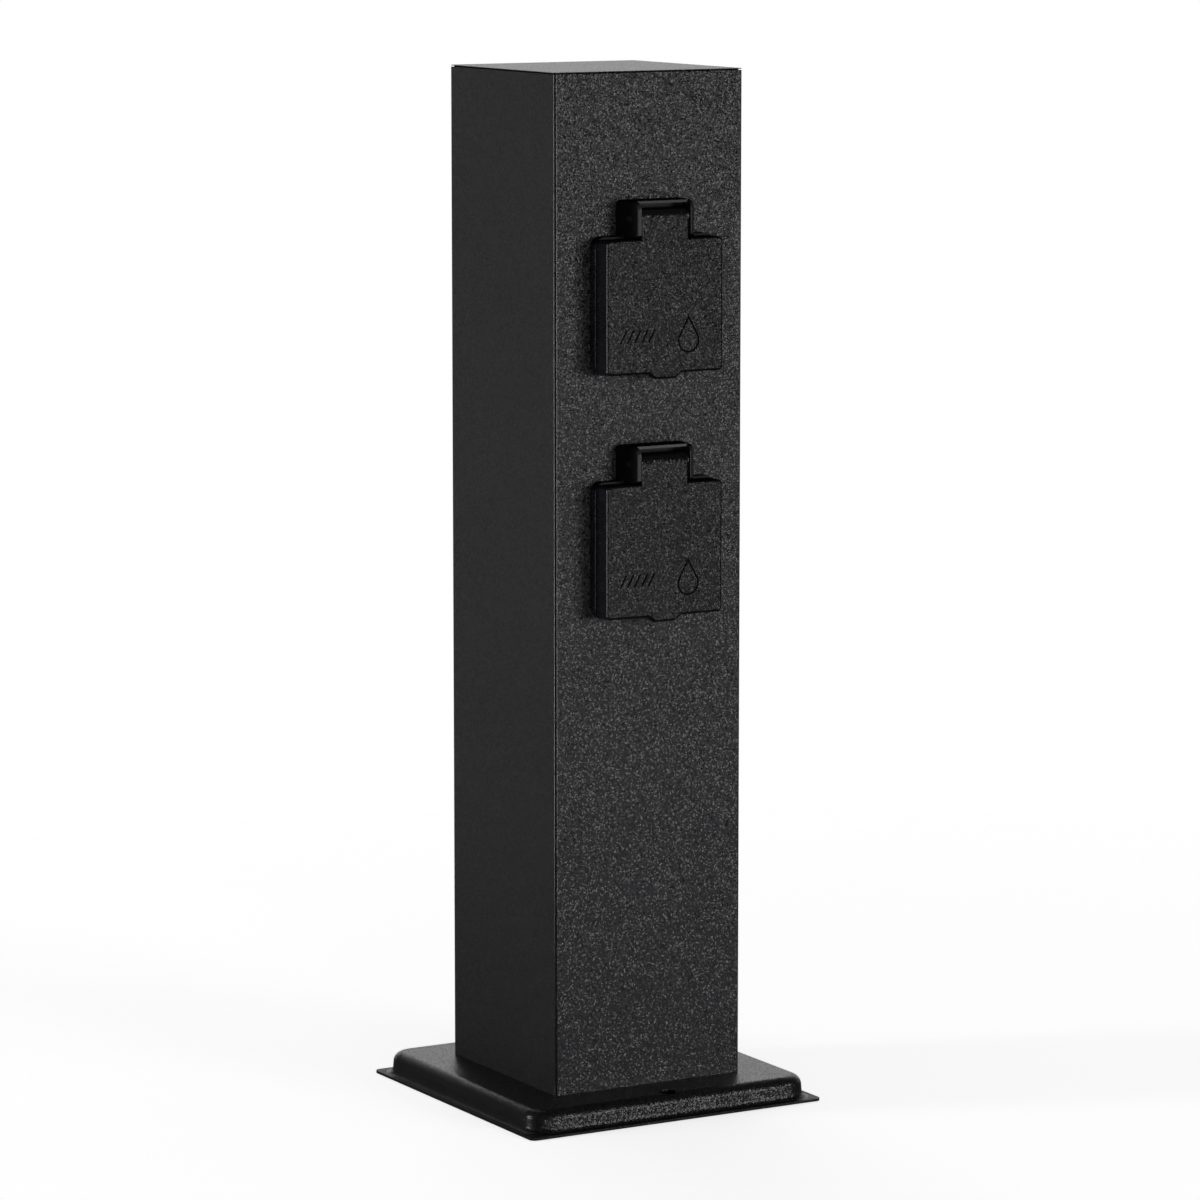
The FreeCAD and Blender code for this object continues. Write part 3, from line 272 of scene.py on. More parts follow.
def buildWorld():  # white behind the object; reflections of what is in front of it are dim
    world = bpy.data.worlds.new("softStudio")
    bpy.context.scene.world = world
    world.use_nodes = True
    tree = world.node_tree
    tree.nodes.clear()
    soft, white, mirrored = (tree.nodes.new("ShaderNodeBackground") for part in range(3))
    for part in (soft, white, mirrored):
        part.inputs["Color"].default_value = (1, 1, 1, 1)
    soft.inputs["Strength"].default_value = studio["worldLevel"]
    white.inputs["Strength"].default_value = studio["whiteLevel"]
    place = tree.nodes.new("ShaderNodeTexCoord")
    facing = vectorSum(tree, "DOT_PRODUCT", place.outputs["Generated"], studio["backdropSide"])
    depth = spread(tree, facing, *studio["backdropEdge"], studio["darkSide"], 1.0, "SMOOTHSTEP")
    tree.links.new(depth, mirrored.inputs["Strength"])
    path = tree.nodes.new("ShaderNodeLightPath")
    shiny = sums(tree, "MAXIMUM", path.outputs["Is Glossy Ray"], path.outputs["Is Transmission Ray"])
    around = mixShaders(tree, shiny, soft.outputs[0], mirrored.outputs[0])
    result = mixShaders(tree, path.outputs["Is Camera Ray"], around, white.outputs[0])
    tree.links.new(result, tree.nodes.new("ShaderNodeOutputWorld").inputs["Surface"])


def buildLamps():
    for name, lamp in lamps.items():
        light = bpy.data.lights.new(name, "AREA")
        light.shape = "RECTANGLE"
        light.size, light.size_y = lamp["size"]
        light.energy = lamp["power"]
        holder = bpy.data.objects.new(name, light)
        bpy.context.collection.objects.link(holder)
        holder.location = lamp["place"]
        aim = Vector(lamp["aim"]) - Vector(lamp["place"])
        holder.rotation_euler = aim.to_track_quat("-Z", "Y").to_euler()


def buildFloor():  # pale near the object, and gone into the white background further out
    bpy.ops.object.select_all(action="DESELECT")
    bpy.ops.mesh.primitive_plane_add(size=studio["floorSide"], location=(0, 0, -studio["floorDrop"]))
    floor = settle(bpy.context.object, "paleFloor")
    material = bpy.data.materials.new("paleFloorPaint")
    material.use_nodes = True
    tree = material.node_tree
    tree.nodes.clear()
    seen = tree.nodes.new("ShaderNodeLightPath").outputs["Is Camera Ray"]
    distance = vectorSum(tree, "LENGTH", tree.nodes.new("ShaderNodeTexCoord").outputs["Object"])
    paint = tree.nodes.new("ShaderNodeBsdfDiffuse")  # pale to the camera, and little light comes off it
    tone = blendColours(tree, seen, studio["floorBounce"], studio["floorColour"])
    tree.links.new(tone, paint.inputs["Color"])
    lift = tree.nodes.new("ShaderNodeEmission")  # lifts only what the camera sees, and nothing under the base
    lit = sums(tree, "MULTIPLY", seen, spread(tree, distance, *studio["underBase"]))
    tree.links.new(sums(tree, "MULTIPLY", lit, studio["floorLift"]), lift.inputs["Strength"])
    lifted = tree.nodes.new("ShaderNodeAddShader")
    tree.links.new(paint.outputs[0], lifted.inputs[0])
    tree.links.new(lift.outputs[0], lifted.inputs[1])
    fade = spread(tree, distance, *studio["floorFade"], shape="SMOOTHSTEP")
    under = tree.nodes.new("ShaderNodeNewGeometry").outputs["Backfacing"]  # no floor is seen from below
    clear = tree.nodes.new("ShaderNodeBsdfTransparent")
    result = mixShaders(tree, sums(tree, "MAXIMUM", fade, under), lifted.outputs[0], clear.outputs[0])
    tree.links.new(result, tree.nodes.new("ShaderNodeOutputMaterial").inputs["Surface"])
    floor.data.materials.append(material)


buildWorld()
buildLamps()
buildFloor()
bpy.context.scene.view_settings.view_transform = "Standard"
print("camera and studio ready")


# Surface effects that several finishes share
def newGroup(name, inputs, outputs):
    group = bpy.data.node_groups.new(name, "ShaderNodeTree")
    for label, value in inputs.items():
        socket = group.interface.new_socket(name=label, in_out="INPUT", socket_type="NodeSocketFloat")
        socket.default_value = value
    for label in outputs:
        group.interface.new_socket(name=label, in_out="OUTPUT", socket_type="NodeSocketFloat")
    source = group.nodes.new("NodeGroupInput")
    result = group.nodes.new("NodeGroupOutput")
    place = group.nodes.new("ShaderNodeTexCoord")
    return group, source, result, place


# two of these ranges paint shade into the tone: darker as a surface turns up, and a dark line along the
# middle of a fold
effects = {"sideways": (0.4, 0.9), "upward": (0.2, 0.65), "upwardShade": (0.0, 0.45, 0.0, 0.7),
           "bent": (0.06, 0.24), "foldShade": (0.42, 0.47, 0.0, 0.9), "middle": 0.5, "cloudDetail": 4.0,
           "cloudRange": (0.3, 0.7, -1.0, 1.0), "lineDetail": 3.0, "lineStretch": (1.0, 1.0, 0.06)}


def buildCoatGrain():  # the skin of powder coat or spark-eroded plastic: small facets, each with its own tilt
    inputs = {"Grain": 2000.0, "Glint": 0.6, "Sides": 1.0, "Fade": 0.0, "Bend": 0.0}
    group, source, result, place = newGroup("coatGrain", inputs, ("Shade", "Height", "Smooth"))
    cells = group.nodes.new("ShaderNodeTexVoronoi")
    group.links.new(place.outputs["Object"], cells.inputs["Vector"])
    group.links.new(source.outputs["Grain"], cells.inputs["Scale"])
    offset = vectorSum(group, "SUBTRACT", place.outputs["Object"], cells.outputs["Position"])
    tilt = vectorSum(group, "SUBTRACT", cells.outputs["Color"], (effects["middle"],) * 3)
    slope = vectorSum(group, "DOT_PRODUCT", offset, tilt)
    facing = group.nodes.new("ShaderNodeSeparateXYZ")
    group.links.new(place.outputs["Normal"], facing.inputs[0])
    x, y, z = facing.outputs

    def part(value, name, amount):  # where the value is in the named range, times an input of the group
        return sums(group, "MULTIPLY", spread(group, value, *effects[name]), source.outputs[amount])

    def rest(value):
        return sums(group, "SUBTRACT", 1.0, value)

    sideways = spread(group, sums(group, "ABSOLUTE", x, 0.0), *effects["sideways"])
    plain = sums(group, "MULTIPLY", sideways, rest(source.outputs["Sides"]))  # less bump and less speckle on the left and right faces, which catch fewer glints
    corner = sums(group, "ABSOLUTE", sums(group, "MULTIPLY", x, y), 0.0)
    smooth = sums(group, "MAXIMUM", part(z, "upward", "Fade"), part(corner, "bent", "Bend"))
    # painted shade: the tone darkens as the surface turns up (Fade) and along the middle of each fold (Bend)
    paintedShade = sums(group, "MAXIMUM", part(z, "upwardShade", "Fade"), part(corner, "foldShade", "Bend"))
    share = sums(group, "MULTIPLY", rest(smooth), rest(plain))
    steep = sums(group, "MULTIPLY", slope, source.outputs["Grain"])
    shades = group.nodes.new("ShaderNodeSeparateColor")
    group.links.new(cells.outputs["Color"], shades.inputs[0])
    # each cell's tone is partly the coat's own grain and partly painted glints
    spark = sums(group, "SUBTRACT", shades.outputs["Blue"], effects["middle"])
    spark = sums(group, "MULTIPLY", sums(group, "MULTIPLY", spark, source.outputs["Glint"]), share)
    shade = sums(group, "MULTIPLY", sums(group, "ADD", spark, effects["middle"]), rest(paintedShade))
    group.links.new(shade, result.inputs["Shade"])
    group.links.new(sums(group, "MULTIPLY", steep, share), result.inputs["Height"])
    group.links.new(smooth, result.inputs["Smooth"])
    return group


def buildToneDrift():  # slow changes of tone and gloss over a surface
    group, source, result, place = newGroup("toneDrift", {"Patch": 18.0, "Amount": 1.0}, ("Drift",))
    cloud = group.nodes.new("ShaderNodeTexNoise")
    cloud.inputs["Detail"].default_value = effects["cloudDetail"]
    group.links.new(place.outputs["Object"], cloud.inputs["Vector"])
    group.links.new(source.outputs["Patch"], cloud.inputs["Scale"])
    drift = spread(group, cloud.outputs["Fac"], *effects["cloudRange"])
    group.links.new(sums(group, "MULTIPLY", drift, source.outputs["Amount"]), result.inputs["Drift"])
    return group


def buildDrawnLines():  # fine lines left by drawing or rolling metal
    group, source, result, place = newGroup("drawnLines", {"Lines": 900.0}, ("Line",))
    stretch = group.nodes.new("ShaderNodeMapping")
    stretch.inputs["Scale"].default_value = effects["lineStretch"]
    lines = group.nodes.new("ShaderNodeTexNoise")
    lines.inputs["Detail"].default_value = effects["lineDetail"]
    group.links.new(place.outputs["Object"], stretch.inputs["Vector"])
    group.links.new(stretch.outputs["Vector"], lines.inputs["Vector"])
    group.links.new(source.outputs["Lines"], lines.inputs["Scale"])
    group.links.new(lines.outputs["Fac"], result.inputs["Line"])
    return group


coatGrain = buildCoatGrain()
toneDrift = buildToneDrift()
drawnLines = buildDrawnLines()


def newFinish(name, constants):  # a material whose plain numbers sit on the shader itself
    material = bpy.data.materials.new(name)
    material.use_nodes = True
    shader = material.node_tree.nodes["Principled BSDF"]
    for label, value in constants.items():
        shader.inputs[label].default_value = value
    return material, material.node_tree, shader


def placeGroup(tree, group, **values):
    node = tree.nodes.new("ShaderNodeGroup")
    node.node_tree = group
    for label, value in values.items():
        node.inputs[label].default_value = value
    return node


def addBump(tree, shader, height, depth):
    bump = tree.nodes.new("ShaderNodeBump")
    bump.inputs["Distance"].default_value = depth * mm
    tree.links.new(height, bump.inputs["Height"])
    tree.links.new(bump.outputs["Normal"], shader.inputs["Normal"])


shares = {"driftRough": 0.4, "smoothRough": 0.10, "dust": (0.75, 0.97, 0.0, 0.2), "skinRough": 0.04,
          "lineRange": (0.3, 0.7), "lineRough": 0.06, "metalDrift": 0.5}


def grainedFinish(name, look):  # powder coat and grained plastic
    material, tree, shader = newFinish(name, {"Specular IOR Level": look["shine"], "Metallic": 0.0})
    grain = placeGroup(tree, coatGrain, Grain=look["grain"], Glint=look["glint"], Sides=look["sides"],
                       Fade=look["fade"], Bend=look["bend"])
    drift = placeGroup(tree, toneDrift, Patch=look["patch"], Amount=look["drift"]).outputs["Drift"]
    shade = sums(tree, "ADD", grain.outputs["Shade"], drift)
    tree.links.new(blendColours(tree, shade, look["dark"], look["light"]), shader.inputs["Base Color"])
    rough = sums(tree, "ADD", sums(tree, "MULTIPLY", drift, shares["driftRough"]), look["rough"])
    less = sums(tree, "MULTIPLY", grain.outputs["Smooth"], look["rough"] - shares["smoothRough"])
    tree.links.new(sums(tree, "SUBTRACT", rough, less), shader.inputs["Roughness"])
    addBump(tree, shader, grain.outputs["Height"], look["depth"])
    return material


def smoothFinish(name, look):  # moulded plastic and rubber with a faint skin
    material, tree, shader = newFinish(name, {"Specular IOR Level": look["shine"]})
    drift = placeGroup(tree, toneDrift, Patch=look["patch"], Amount=1.0)
    half = spread(tree, drift.outputs["Drift"], -1.0, 1.0)
    tree.links.new(blendColours(tree, half, look["dark"], look["light"]), shader.inputs["Base Color"])
    facing = tree.nodes.new("ShaderNodeSeparateXYZ")  # a little dust dulls what faces up
    tree.links.new(tree.nodes.new("ShaderNodeTexCoord").outputs["Normal"], facing.inputs[0])
    dust = spread(tree, facing.outputs["Z"], *shares["dust"])
    low, high = look["rough"] - shares["skinRough"], look["rough"] + shares["skinRough"]
    rough = sums(tree, "ADD", dust, spread(tree, half, 0.0, 1.0, low, high))
    tree.links.new(rough, shader.inputs["Roughness"])
    grain = placeGroup(tree, coatGrain, Grain=look["grain"], Glint=0.0)
    addBump(tree, shader, grain.outputs["Height"], look["depth"])
    return material


def metalFinish(name, look):
    material, tree, shader = newFinish(name, {"Metallic": 1.0})
    line = placeGroup(tree, drawnLines, Lines=look["lines"]).outputs["Line"]
    drift = placeGroup(tree, toneDrift, Patch=look["patch"], Amount=shares["metalDrift"])
    tone = sums(tree, "ADD", line, drift.outputs["Drift"])
    tree.links.new(blendColours(tree, tone, look["dark"], look["light"]), shader.inputs["Base Color"])
    low, high = look["rough"] - shares["lineRough"], look["rough"] + shares["lineRough"]
    tree.links.new(spread(tree, line, *shares["lineRange"], low, high), shader.inputs["Roughness"])
    addBump(tree, shader, line, look["depth"])
    return material


grainLooks = {
    # bend smooths each fold of the column and paints a dark line of shade down its middle
    "columnPaint": {"dark": (0.0, 0.0, 0.0), "light": (0.044, 0.042, 0.047), "grain": 2050.0, "glint": 1.8,
                    "sides": 0.3, "fade": 0.0, "bend": 0.8, "patch": 9.0, "drift": 0.02, "rough": 0.32,
                    "shine": 0.38, "depth": 0.24},
    "basePaint": {"dark": (0.0, 0.0, 0.0), "light": (0.012, 0.012, 0.014), "grain": 2300.0, "glint": 1.2,
                  "sides": 0.4, "fade": 0.0, "bend": 0.0, "patch": 12.0, "drift": 0.02, "rough": 0.28,
                  "shine": 0.38, "depth": 0.13},
    "lipPaint": {"dark": (0.0, 0.0, 0.0), "light": (0.012, 0.012, 0.014), "grain": 2300.0, "glint": 1.8,
                 "sides": 0.4, "fade": 0.0, "bend": 0.0, "patch": 12.0, "drift": 0.02, "rough": 0.45,
                 "shine": 0.35, "depth": 0.19},
    # fade smooths the barrel as it turns up and paints its tone darker there, painted shade
    "lidGrain": {"dark": (0.0, 0.0, 0.0), "light": (0.0315, 0.0285, 0.0285), "grain": 2050.0, "glint": 1.8,
                 "sides": 1.0, "fade": 1.0, "bend": 0.0, "patch": 20.0, "drift": 0.02, "rough": 0.33,
                 "shine": 0.30, "depth": 0.27},
}
smoothLooks = {
    "frameGloss": {"dark": (0.006, 0.006, 0.009), "light": (0.011, 0.011, 0.015), "patch": 60.0,
                   "rough": 0.13, "shine": 0.5, "grain": 700.0, "depth": 0.003},
    # lighter and rougher than the gloss, on the hood's front faces only: partly a painted highlight band
    "frameSatin": {"dark": (0.010, 0.010, 0.013), "light": (0.016, 0.016, 0.020), "patch": 60.0,
                   "rough": 0.38, "shine": 0.35, "grain": 700.0, "depth": 0.003},
    # near-black matt, used where shade is painted: in the cap slit, in engraved marks, on some rims and
    # roundings and on faces that point up
    "mattBlack": {"dark": (0.004, 0.004, 0.005), "light": (0.008, 0.008, 0.009), "patch": 60.0, "rough": 0.8,
                  "shine": 0.0, "grain": 700.0, "depth": 0.003},
    "glandPlastic": {"dark": (0.012, 0.012, 0.013), "light": (0.020, 0.020, 0.022), "patch": 50.0,
                     "rough": 0.42, "shine": 0.4, "grain": 1500.0, "depth": 0.01},
    "rubber": {"dark": (0.010, 0.010, 0.010), "light": (0.019, 0.019, 0.018), "patch": 60.0, "rough": 0.66,
               "shine": 0.3, "grain": 1200.0, "depth": 0.02},
    "carrierGrey": {"dark": (0.46, 0.46, 0.44), "light": (0.55, 0.55, 0.53), "patch": 50.0, "rough": 0.45,
                    "shine": 0.45, "grain": 1300.0, "depth": 0.01},
    "shutterWhite": {"dark": (0.68, 0.68, 0.65), "light": (0.76, 0.76, 0.73), "patch": 80.0, "rough": 0.4,
                     "shine": 0.45, "grain": 1300.0, "depth": 0.01},
    "blockWhite": {"dark": (0.66, 0.66, 0.62), "light": (0.76, 0.76, 0.72), "patch": 60.0, "rough": 0.42,
                   "shine": 0.45, "grain": 1300.0, "depth": 0.01},
    "liveBrown": {"dark": (0.13, 0.050, 0.022), "light": (0.17, 0.066, 0.030), "patch": 60.0, "rough": 0.42,
                  "shine": 0.45, "grain": 1200.0, "depth": 0.01},
    "neutralBlue": {"dark": (0.020, 0.085, 0.36), "light": (0.030, 0.11, 0.44), "patch": 60.0, "rough": 0.42,
                    "shine": 0.45, "grain": 1200.0, "depth": 0.01},
}
metalLooks = {
    "zincSteel": {"dark": (0.46, 0.46, 0.47), "light": (0.66, 0.66, 0.64), "lines": 700.0, "patch": 90.0,
                  "rough": 0.36, "depth": 0.01},
    "stainlessWire": {"dark": (0.42, 0.42, 0.42), "light": (0.60, 0.60, 0.59), "lines": 1500.0,
                      "patch": 120.0, "rough": 0.24, "depth": 0.006},
    "springSteel": {"dark": (0.34, 0.34, 0.35), "light": (0.52, 0.52, 0.52), "lines": 1500.0, "patch": 120.0,
                    "rough": 0.28, "depth": 0.006},
    "brassMetal": {"dark": (0.60, 0.42, 0.16), "light": (0.78, 0.58, 0.26), "lines": 900.0, "patch": 90.0,
                   "rough": 0.3, "depth": 0.008},
    "tinnedCopper": {"dark": (0.56, 0.54, 0.50), "light": (0.74, 0.72, 0.68), "lines": 1000.0, "patch": 90.0,
                     "rough": 0.28, "depth": 0.008},
}
finish = {}
for make, looks in ((grainedFinish, grainLooks), (smoothFinish, smoothLooks), (metalFinish, metalLooks)):
    for name, look in looks.items():
        finish[name] = make(name, look)
stripeLook = {"green": (0.035, 0.20, 0.03), "yellow": (0.62, 0.50, 0.03), "stripes": 260.0, "perWave": 6.28,
              "share": 0.5, "patch": 60.0, "drift": 0.04, "rough": 0.42, "shine": 0.45}


def stripedFinish(look):  # green and yellow insulation of the earth wires
    material, tree, shader = newFinish("earthStripes", {"Specular IOR Level": look["shine"]})
    place = tree.nodes.new("ShaderNodeTexCoord")
    waves = tree.nodes.new("ShaderNodeTexWave")
    waves.wave_type = "BANDS"
    waves.bands_direction = "X"
    waves.inputs["Scale"].default_value = look["stripes"] / look["perWave"]
    tree.links.new(place.outputs["Object"], waves.inputs["Vector"])
    side = sums(tree, "GREATER_THAN", waves.outputs["Fac"], look["share"])
    tree.links.new(blendColours(tree, side, look["green"], look["yellow"]), shader.inputs["Base Color"])
    drift = placeGroup(tree, toneDrift, Patch=look["patch"], Amount=look["drift"])
    tree.links.new(sums(tree, "ADD", drift.outputs["Drift"], look["rough"]), shader.inputs["Roughness"])
    return material


finish["earthStripes"] = stripedFinish(stripeLook)
print("finishes ready:", len(finish))

# Base plate: pressed from one sheet
# Roundings are given as width and steps, and soft edges also with their least angle
baseSizes = {"side": 126.4, "lipWidth": 3.0, "sheet": 1.0, "lipCorner": (2.5, 8), "height": 9.4,
             "corner": (9.0, 8), "lean": 0.5, "shoulder": (3.6, 7), "cove": (2.2, 4), "edge": (0.3, 3, 55),
             "anchorHole": 6.4, "anchorSpacing": 109.0, "glandHole": 20.5, "screwHole": 5.5, "screwX": 29.5,
             "screwY": 13.0, "footReach": 0.1, "lipLevel": 0.05}


def buildBase(s):
    half = s["side"] / 2
    inner = half - s["lipWidth"]
    bpy.ops.object.select_all(action="DESELECT")
    bpy.ops.mesh.primitive_plane_add(size=s["side"] * mm, location=(0, 0, s["sheet"] * mm))
    plate = settle(bpy.context.object, "basePlate")
    inEdit(plate, "VERT", lambda ends: True)
    width, steps = s["lipCorner"]
    bpy.ops.mesh.bevel(offset=width * mm, segments=steps, affect="VERTICES")
    bpy.ops.mesh.select_all(action="SELECT")
    bpy.ops.mesh.delete(type="ONLY_FACE")
    bpy.ops.mesh.primitive_plane_add(size=2 * inner * mm, location=(0, 0, s["sheet"] * mm))
    width, steps = s["corner"]
    bpy.ops.mesh.bevel(offset=width * mm, segments=steps, affect="VERTICES")
    bpy.ops.mesh.select_mode(type="FACE")
    leaveEdit()
    inEdit(plate, "FACE", lambda ends: True)
    rise = s["height"] - s["sheet"]
    bpy.ops.mesh.extrude_region_move(TRANSFORM_OT_translate={"value": (0, 0, rise * mm)})
    share = 1 - s["lean"] / inner
    bpy.ops.transform.resize(value=(share, share, 1))
    leaveEdit()
    inEdit(plate, "FACE", lambda ends: allNear(ends, "Z", s["sheet"]))
    bpy.ops.mesh.delete(type="ONLY_FACE")  # the underside stays open
    leaveEdit()
    inEdit(plate, "EDGE", lambda ends: allNear(ends, "Z", s["sheet"]))
    bpy.ops.mesh.bridge_edge_loops()
    leaveEdit()
    inEdit(plate, "FACE", lambda ends: True)
    bpy.ops.mesh.normals_make_consistent(inside=False)
    leaveEdit()

    def footEdge(ends):
        reach = inner + s["footReach"]
        return allNear(ends, "Z", s["sheet"]) and all(max(abs(e.x), abs(e.y)) < reach for e in ends)

    roundOff(plate, s["cove"], footEdge)
    roundOff(plate, s["shoulder"], lambda ends: allNear(ends, "Z", s["height"]))
    thicken(plate, s["sheet"])
    low, high = -spare, s["height"] + spare
    for side in (-1, 1):
        place = (0, side * s["anchorSpacing"] / 2)
        cut(plate, addRod("hole", s["anchorHole"] / 2, "Z", low, high, place, "bore"))
        for other in (-1, 1):
            place = (side * s["screwX"], other * s["screwY"])
            cut(plate, addRod("hole", s["screwHole"] / 2, "Z", low, high, place, "hole"))
    cut(plate, addRod("hole", s["glandHole"] / 2, "Z", low, high, (0, 0), "gland"))
    soften(plate, s["edge"])
    shadeRound(plate, "metal")
    dress(plate, "column", "base_paint", ["base_plate"], finish["basePaint"], finish["lipPaint"])
    duller = plate.data.materials.find("lipPaint")
    for face in plate.data.polygons:  # the lip on the ground
        if face.center.z < (s["sheet"] + s["lipLevel"]) * mm:
            face.material_index = duller


buildBase(baseSizes)
print("base plate ready")

# Column: folded tube with a cap
columnSizes = {"side": 80.4, "fold": (1.25, 8), "sheet": 1.5, "bottom": 9.4, "top": 390.65, "cutOut": 22.0,
               "outlets": (305.6, 215.0), "screwSpacing": 38.0, "screwHole": 3.5, "seamWidth": 0.5,
               "seamDepth": 0.25, "edge": (0.12, 2, 60), "cutStart": -2, "cutEnd": 4}
capSizes = {"sheet": 1.5, "top": 391.4, "rim": (0.3, 5), "slit": 0.45, "slitDepth": 1.2, "skirt": 14.0,
            "fit": 0.2, "notch": 7.7}


def buildColumn(s):
    half = s["side"] / 2
    tube = addBlock("columnTube", (-half, -half, s["bottom"]), (half, half, s["top"]))
    inEdit(tube, "FACE", lambda ends: allNear(ends, "Z", s["bottom"]) or allNear(ends, "Z", s["top"]))
    bpy.ops.mesh.delete(type="FACE")
    leaveEdit()
    roundOff(tube, s["fold"], lambda ends: runsAlong(ends, "Z"))
    thicken(tube, s["sheet"])
    start, end = -half + s["cutStart"], -half + s["cutEnd"]
    for z in s["outlets"]:
        cut(tube, addRod("cutOut", s["cutOut"], "Y", start, end, (0, z), "cup"))
        for x in (-1, 1):
            for up in (-1, 1):
                place = (x * s["screwSpacing"] / 2, z + up * s["screwSpacing"] / 2)
                cut(tube, addRod("hole", s["screwHole"] / 2, "Y", start, end, place, "small"))
    seam = addBlock("seam", (-s["seamWidth"] / 2, half - s["seamDepth"], s["bottom"] - spare),
                    (s["seamWidth"] / 2, half + spare, s["top"] + spare))
    cut(tube, seam)
    soften(tube, s["edge"])
    shadeRound(tube, "metal")
    dress(tube, "column", "column_paint", ["column_shell"], finish["columnPaint"])


def buildCap(s, column):
    half = column["side"] / 2
    low = column["top"]
    high = s["top"]
    shelf = low + s["slit"]
    cap = addBlock("columnCap", (-half, -half, shelf), (half, half, high))
    roundOff(cap, column["fold"], lambda ends: runsAlong(ends, "Z"))
    roundOff(cap, s["rim"], lambda ends: allNear(ends, "Z", high))
    core = half - s["slitDepth"]
    fuse(cap, addBlock("core", (-core, -core, low), (core, core, (shelf + high) / 2)))
    reach = half - column["sheet"] - s["fit"]
    notch = reach - s["notch"]
    inside = reach - s["sheet"]
    bottom = low - s["skirt"]
    for side in (-1, 1):
        inner, outer = sorted((side * inside, side * reach))
        fuse(cap, addBlock("skirt", (-notch, inner, bottom), (notch, outer, low + s["slit"] / 2)))
        fuse(cap, addBlock("skirt", (inner, -notch, bottom), (outer, notch, low + s["slit"] / 2)))
    shadeRound(cap, "metal")
    dress(cap, "column", "column_paint", ["top_cap"], finish["columnPaint"], finish["mattBlack"])
    dark = cap.data.materials.find("mattBlack")
    for face in cap.data.polygons:  # painted shade: the faces in the slit between cap and column are near black
        if low * mm < face.center.z < (shelf + near) * mm:
            face.material_index = dark


buildColumn(columnSizes)
buildCap(capSizes, columnSizes)
print("column ready")

# Socket frames: flange, hinge hood and plug recess
frameSizes = {"side": 51.0, "corner": (4.0, 8), "front": -44.0, "back": -41.0, "edge": (0.3, 4),
              "bore": 19.6, "cup": 21.5, "rim": -48.9, "rimEdge": (0.5, 3), "floorFront": -31.4,
              "floorBack": -28.4, "keyWidth": 5.2, "keyDepth": 1.8, "keyStart": 2.0, "keyEdge": (0.5, 3),
              "keyRoot": 0.9, "keyFoot": 0.5, "pinSpacing": 19.0, "pinHole": 5.6, "pinLead": 0.6,
              "slotHalf": 2.5, "slotLow": 15.9, "slotHigh": 19.6, "screwSpacing": 38.0, "screwHole": 3.5,
              "screwHead": 6.3, "faceScrewHole": 3.5, "lead": 0.1}
hoodSizes = {"pinY": -48.3, "pinRise": 32.0, "top": 6.7, "flare": 1.17, "front": 4.1, "cheekInner": 10.5,
             "cheekOuter": 12.5, "roof": 1.1, "mouth": 1.7, "lipLean": 0.18, "nose": (3.5, 10),
             "corner": (1.9, 6), "swing": 7.15, "pinHole": 1.27, "boreLeft": 12.45, "dimple": 13.1,
             "edge": (0.15, 3, 50)}


def buildHood(h, s, z):
    pinZ = z + h["pinRise"]
    top = pinZ + h["top"]
    front = h["pinY"] - h["front"]
    foot = pinZ - h["swing"] - spare
    inner, outer = h["cheekInner"], h["cheekOuter"]
    lip, under = h["pinY"] - h["mouth"], top - h["roof"]

    def sideEdge(ends):  # the edges round each cheek, not where it meets the flange
        onSide = allNear(ends, "X", ends[0].x) and abs(ends[0].x) > outer - near
        return onSide and not allNear(ends, "Y", s["back"]) and not allNear(ends, "Z", foot)

    hood = addBlock("hood", (-outer, front, foot), (outer, s["back"], top))
    roundOff(hood, h["nose"], lambda ends: allNear(ends, "Z", top) and allNear(ends, "Y", front))
    roundOff(hood, h["corner"], sideEdge)
    cut(hood, addBlock("between", (-inner, front - spare, foot - spare), (inner, s["front"], under)))
    cut(hood, addBlock("mouth", (-inner, front - spare, foot - spare), (inner, lip, top + spare)))
    slope = addBlock("slope", (-inner, front - spare, under), (inner, lip, top + spare))
    inEdit(slope, "EDGE", lambda ends: allNear(ends, "Z", top + spare) and allNear(ends, "Y", lip))
    lean = h["lipLean"] * (h["roof"] + spare)  # lipLean is per millimetre of height
    bpy.ops.transform.translate(value=(0, lean * mm, 0))
    leaveEdit()
    cut(hood, slope)
    chin = addRod("swing", h["swing"], "X", -outer - spare, outer + spare, (h["pinY"], pinZ), "cup")
    below = addBlock("below", (-outer - 2 * spare, front - 2 * spare, foot - 2 * spare),
                     (outer + 2 * spare, s["front"], pinZ))
    cut(below, chin)
    cut(hood, below)
    soften(hood, h["edge"])
    for corner in hood.data.vertices:  # the cheeks spread towards the column
        share = (corner.co.y / mm - front) / (s["back"] - front)
        corner.co.x *= 1 + (h["flare"] - 1) * share
    hood.data.update()
    return hood


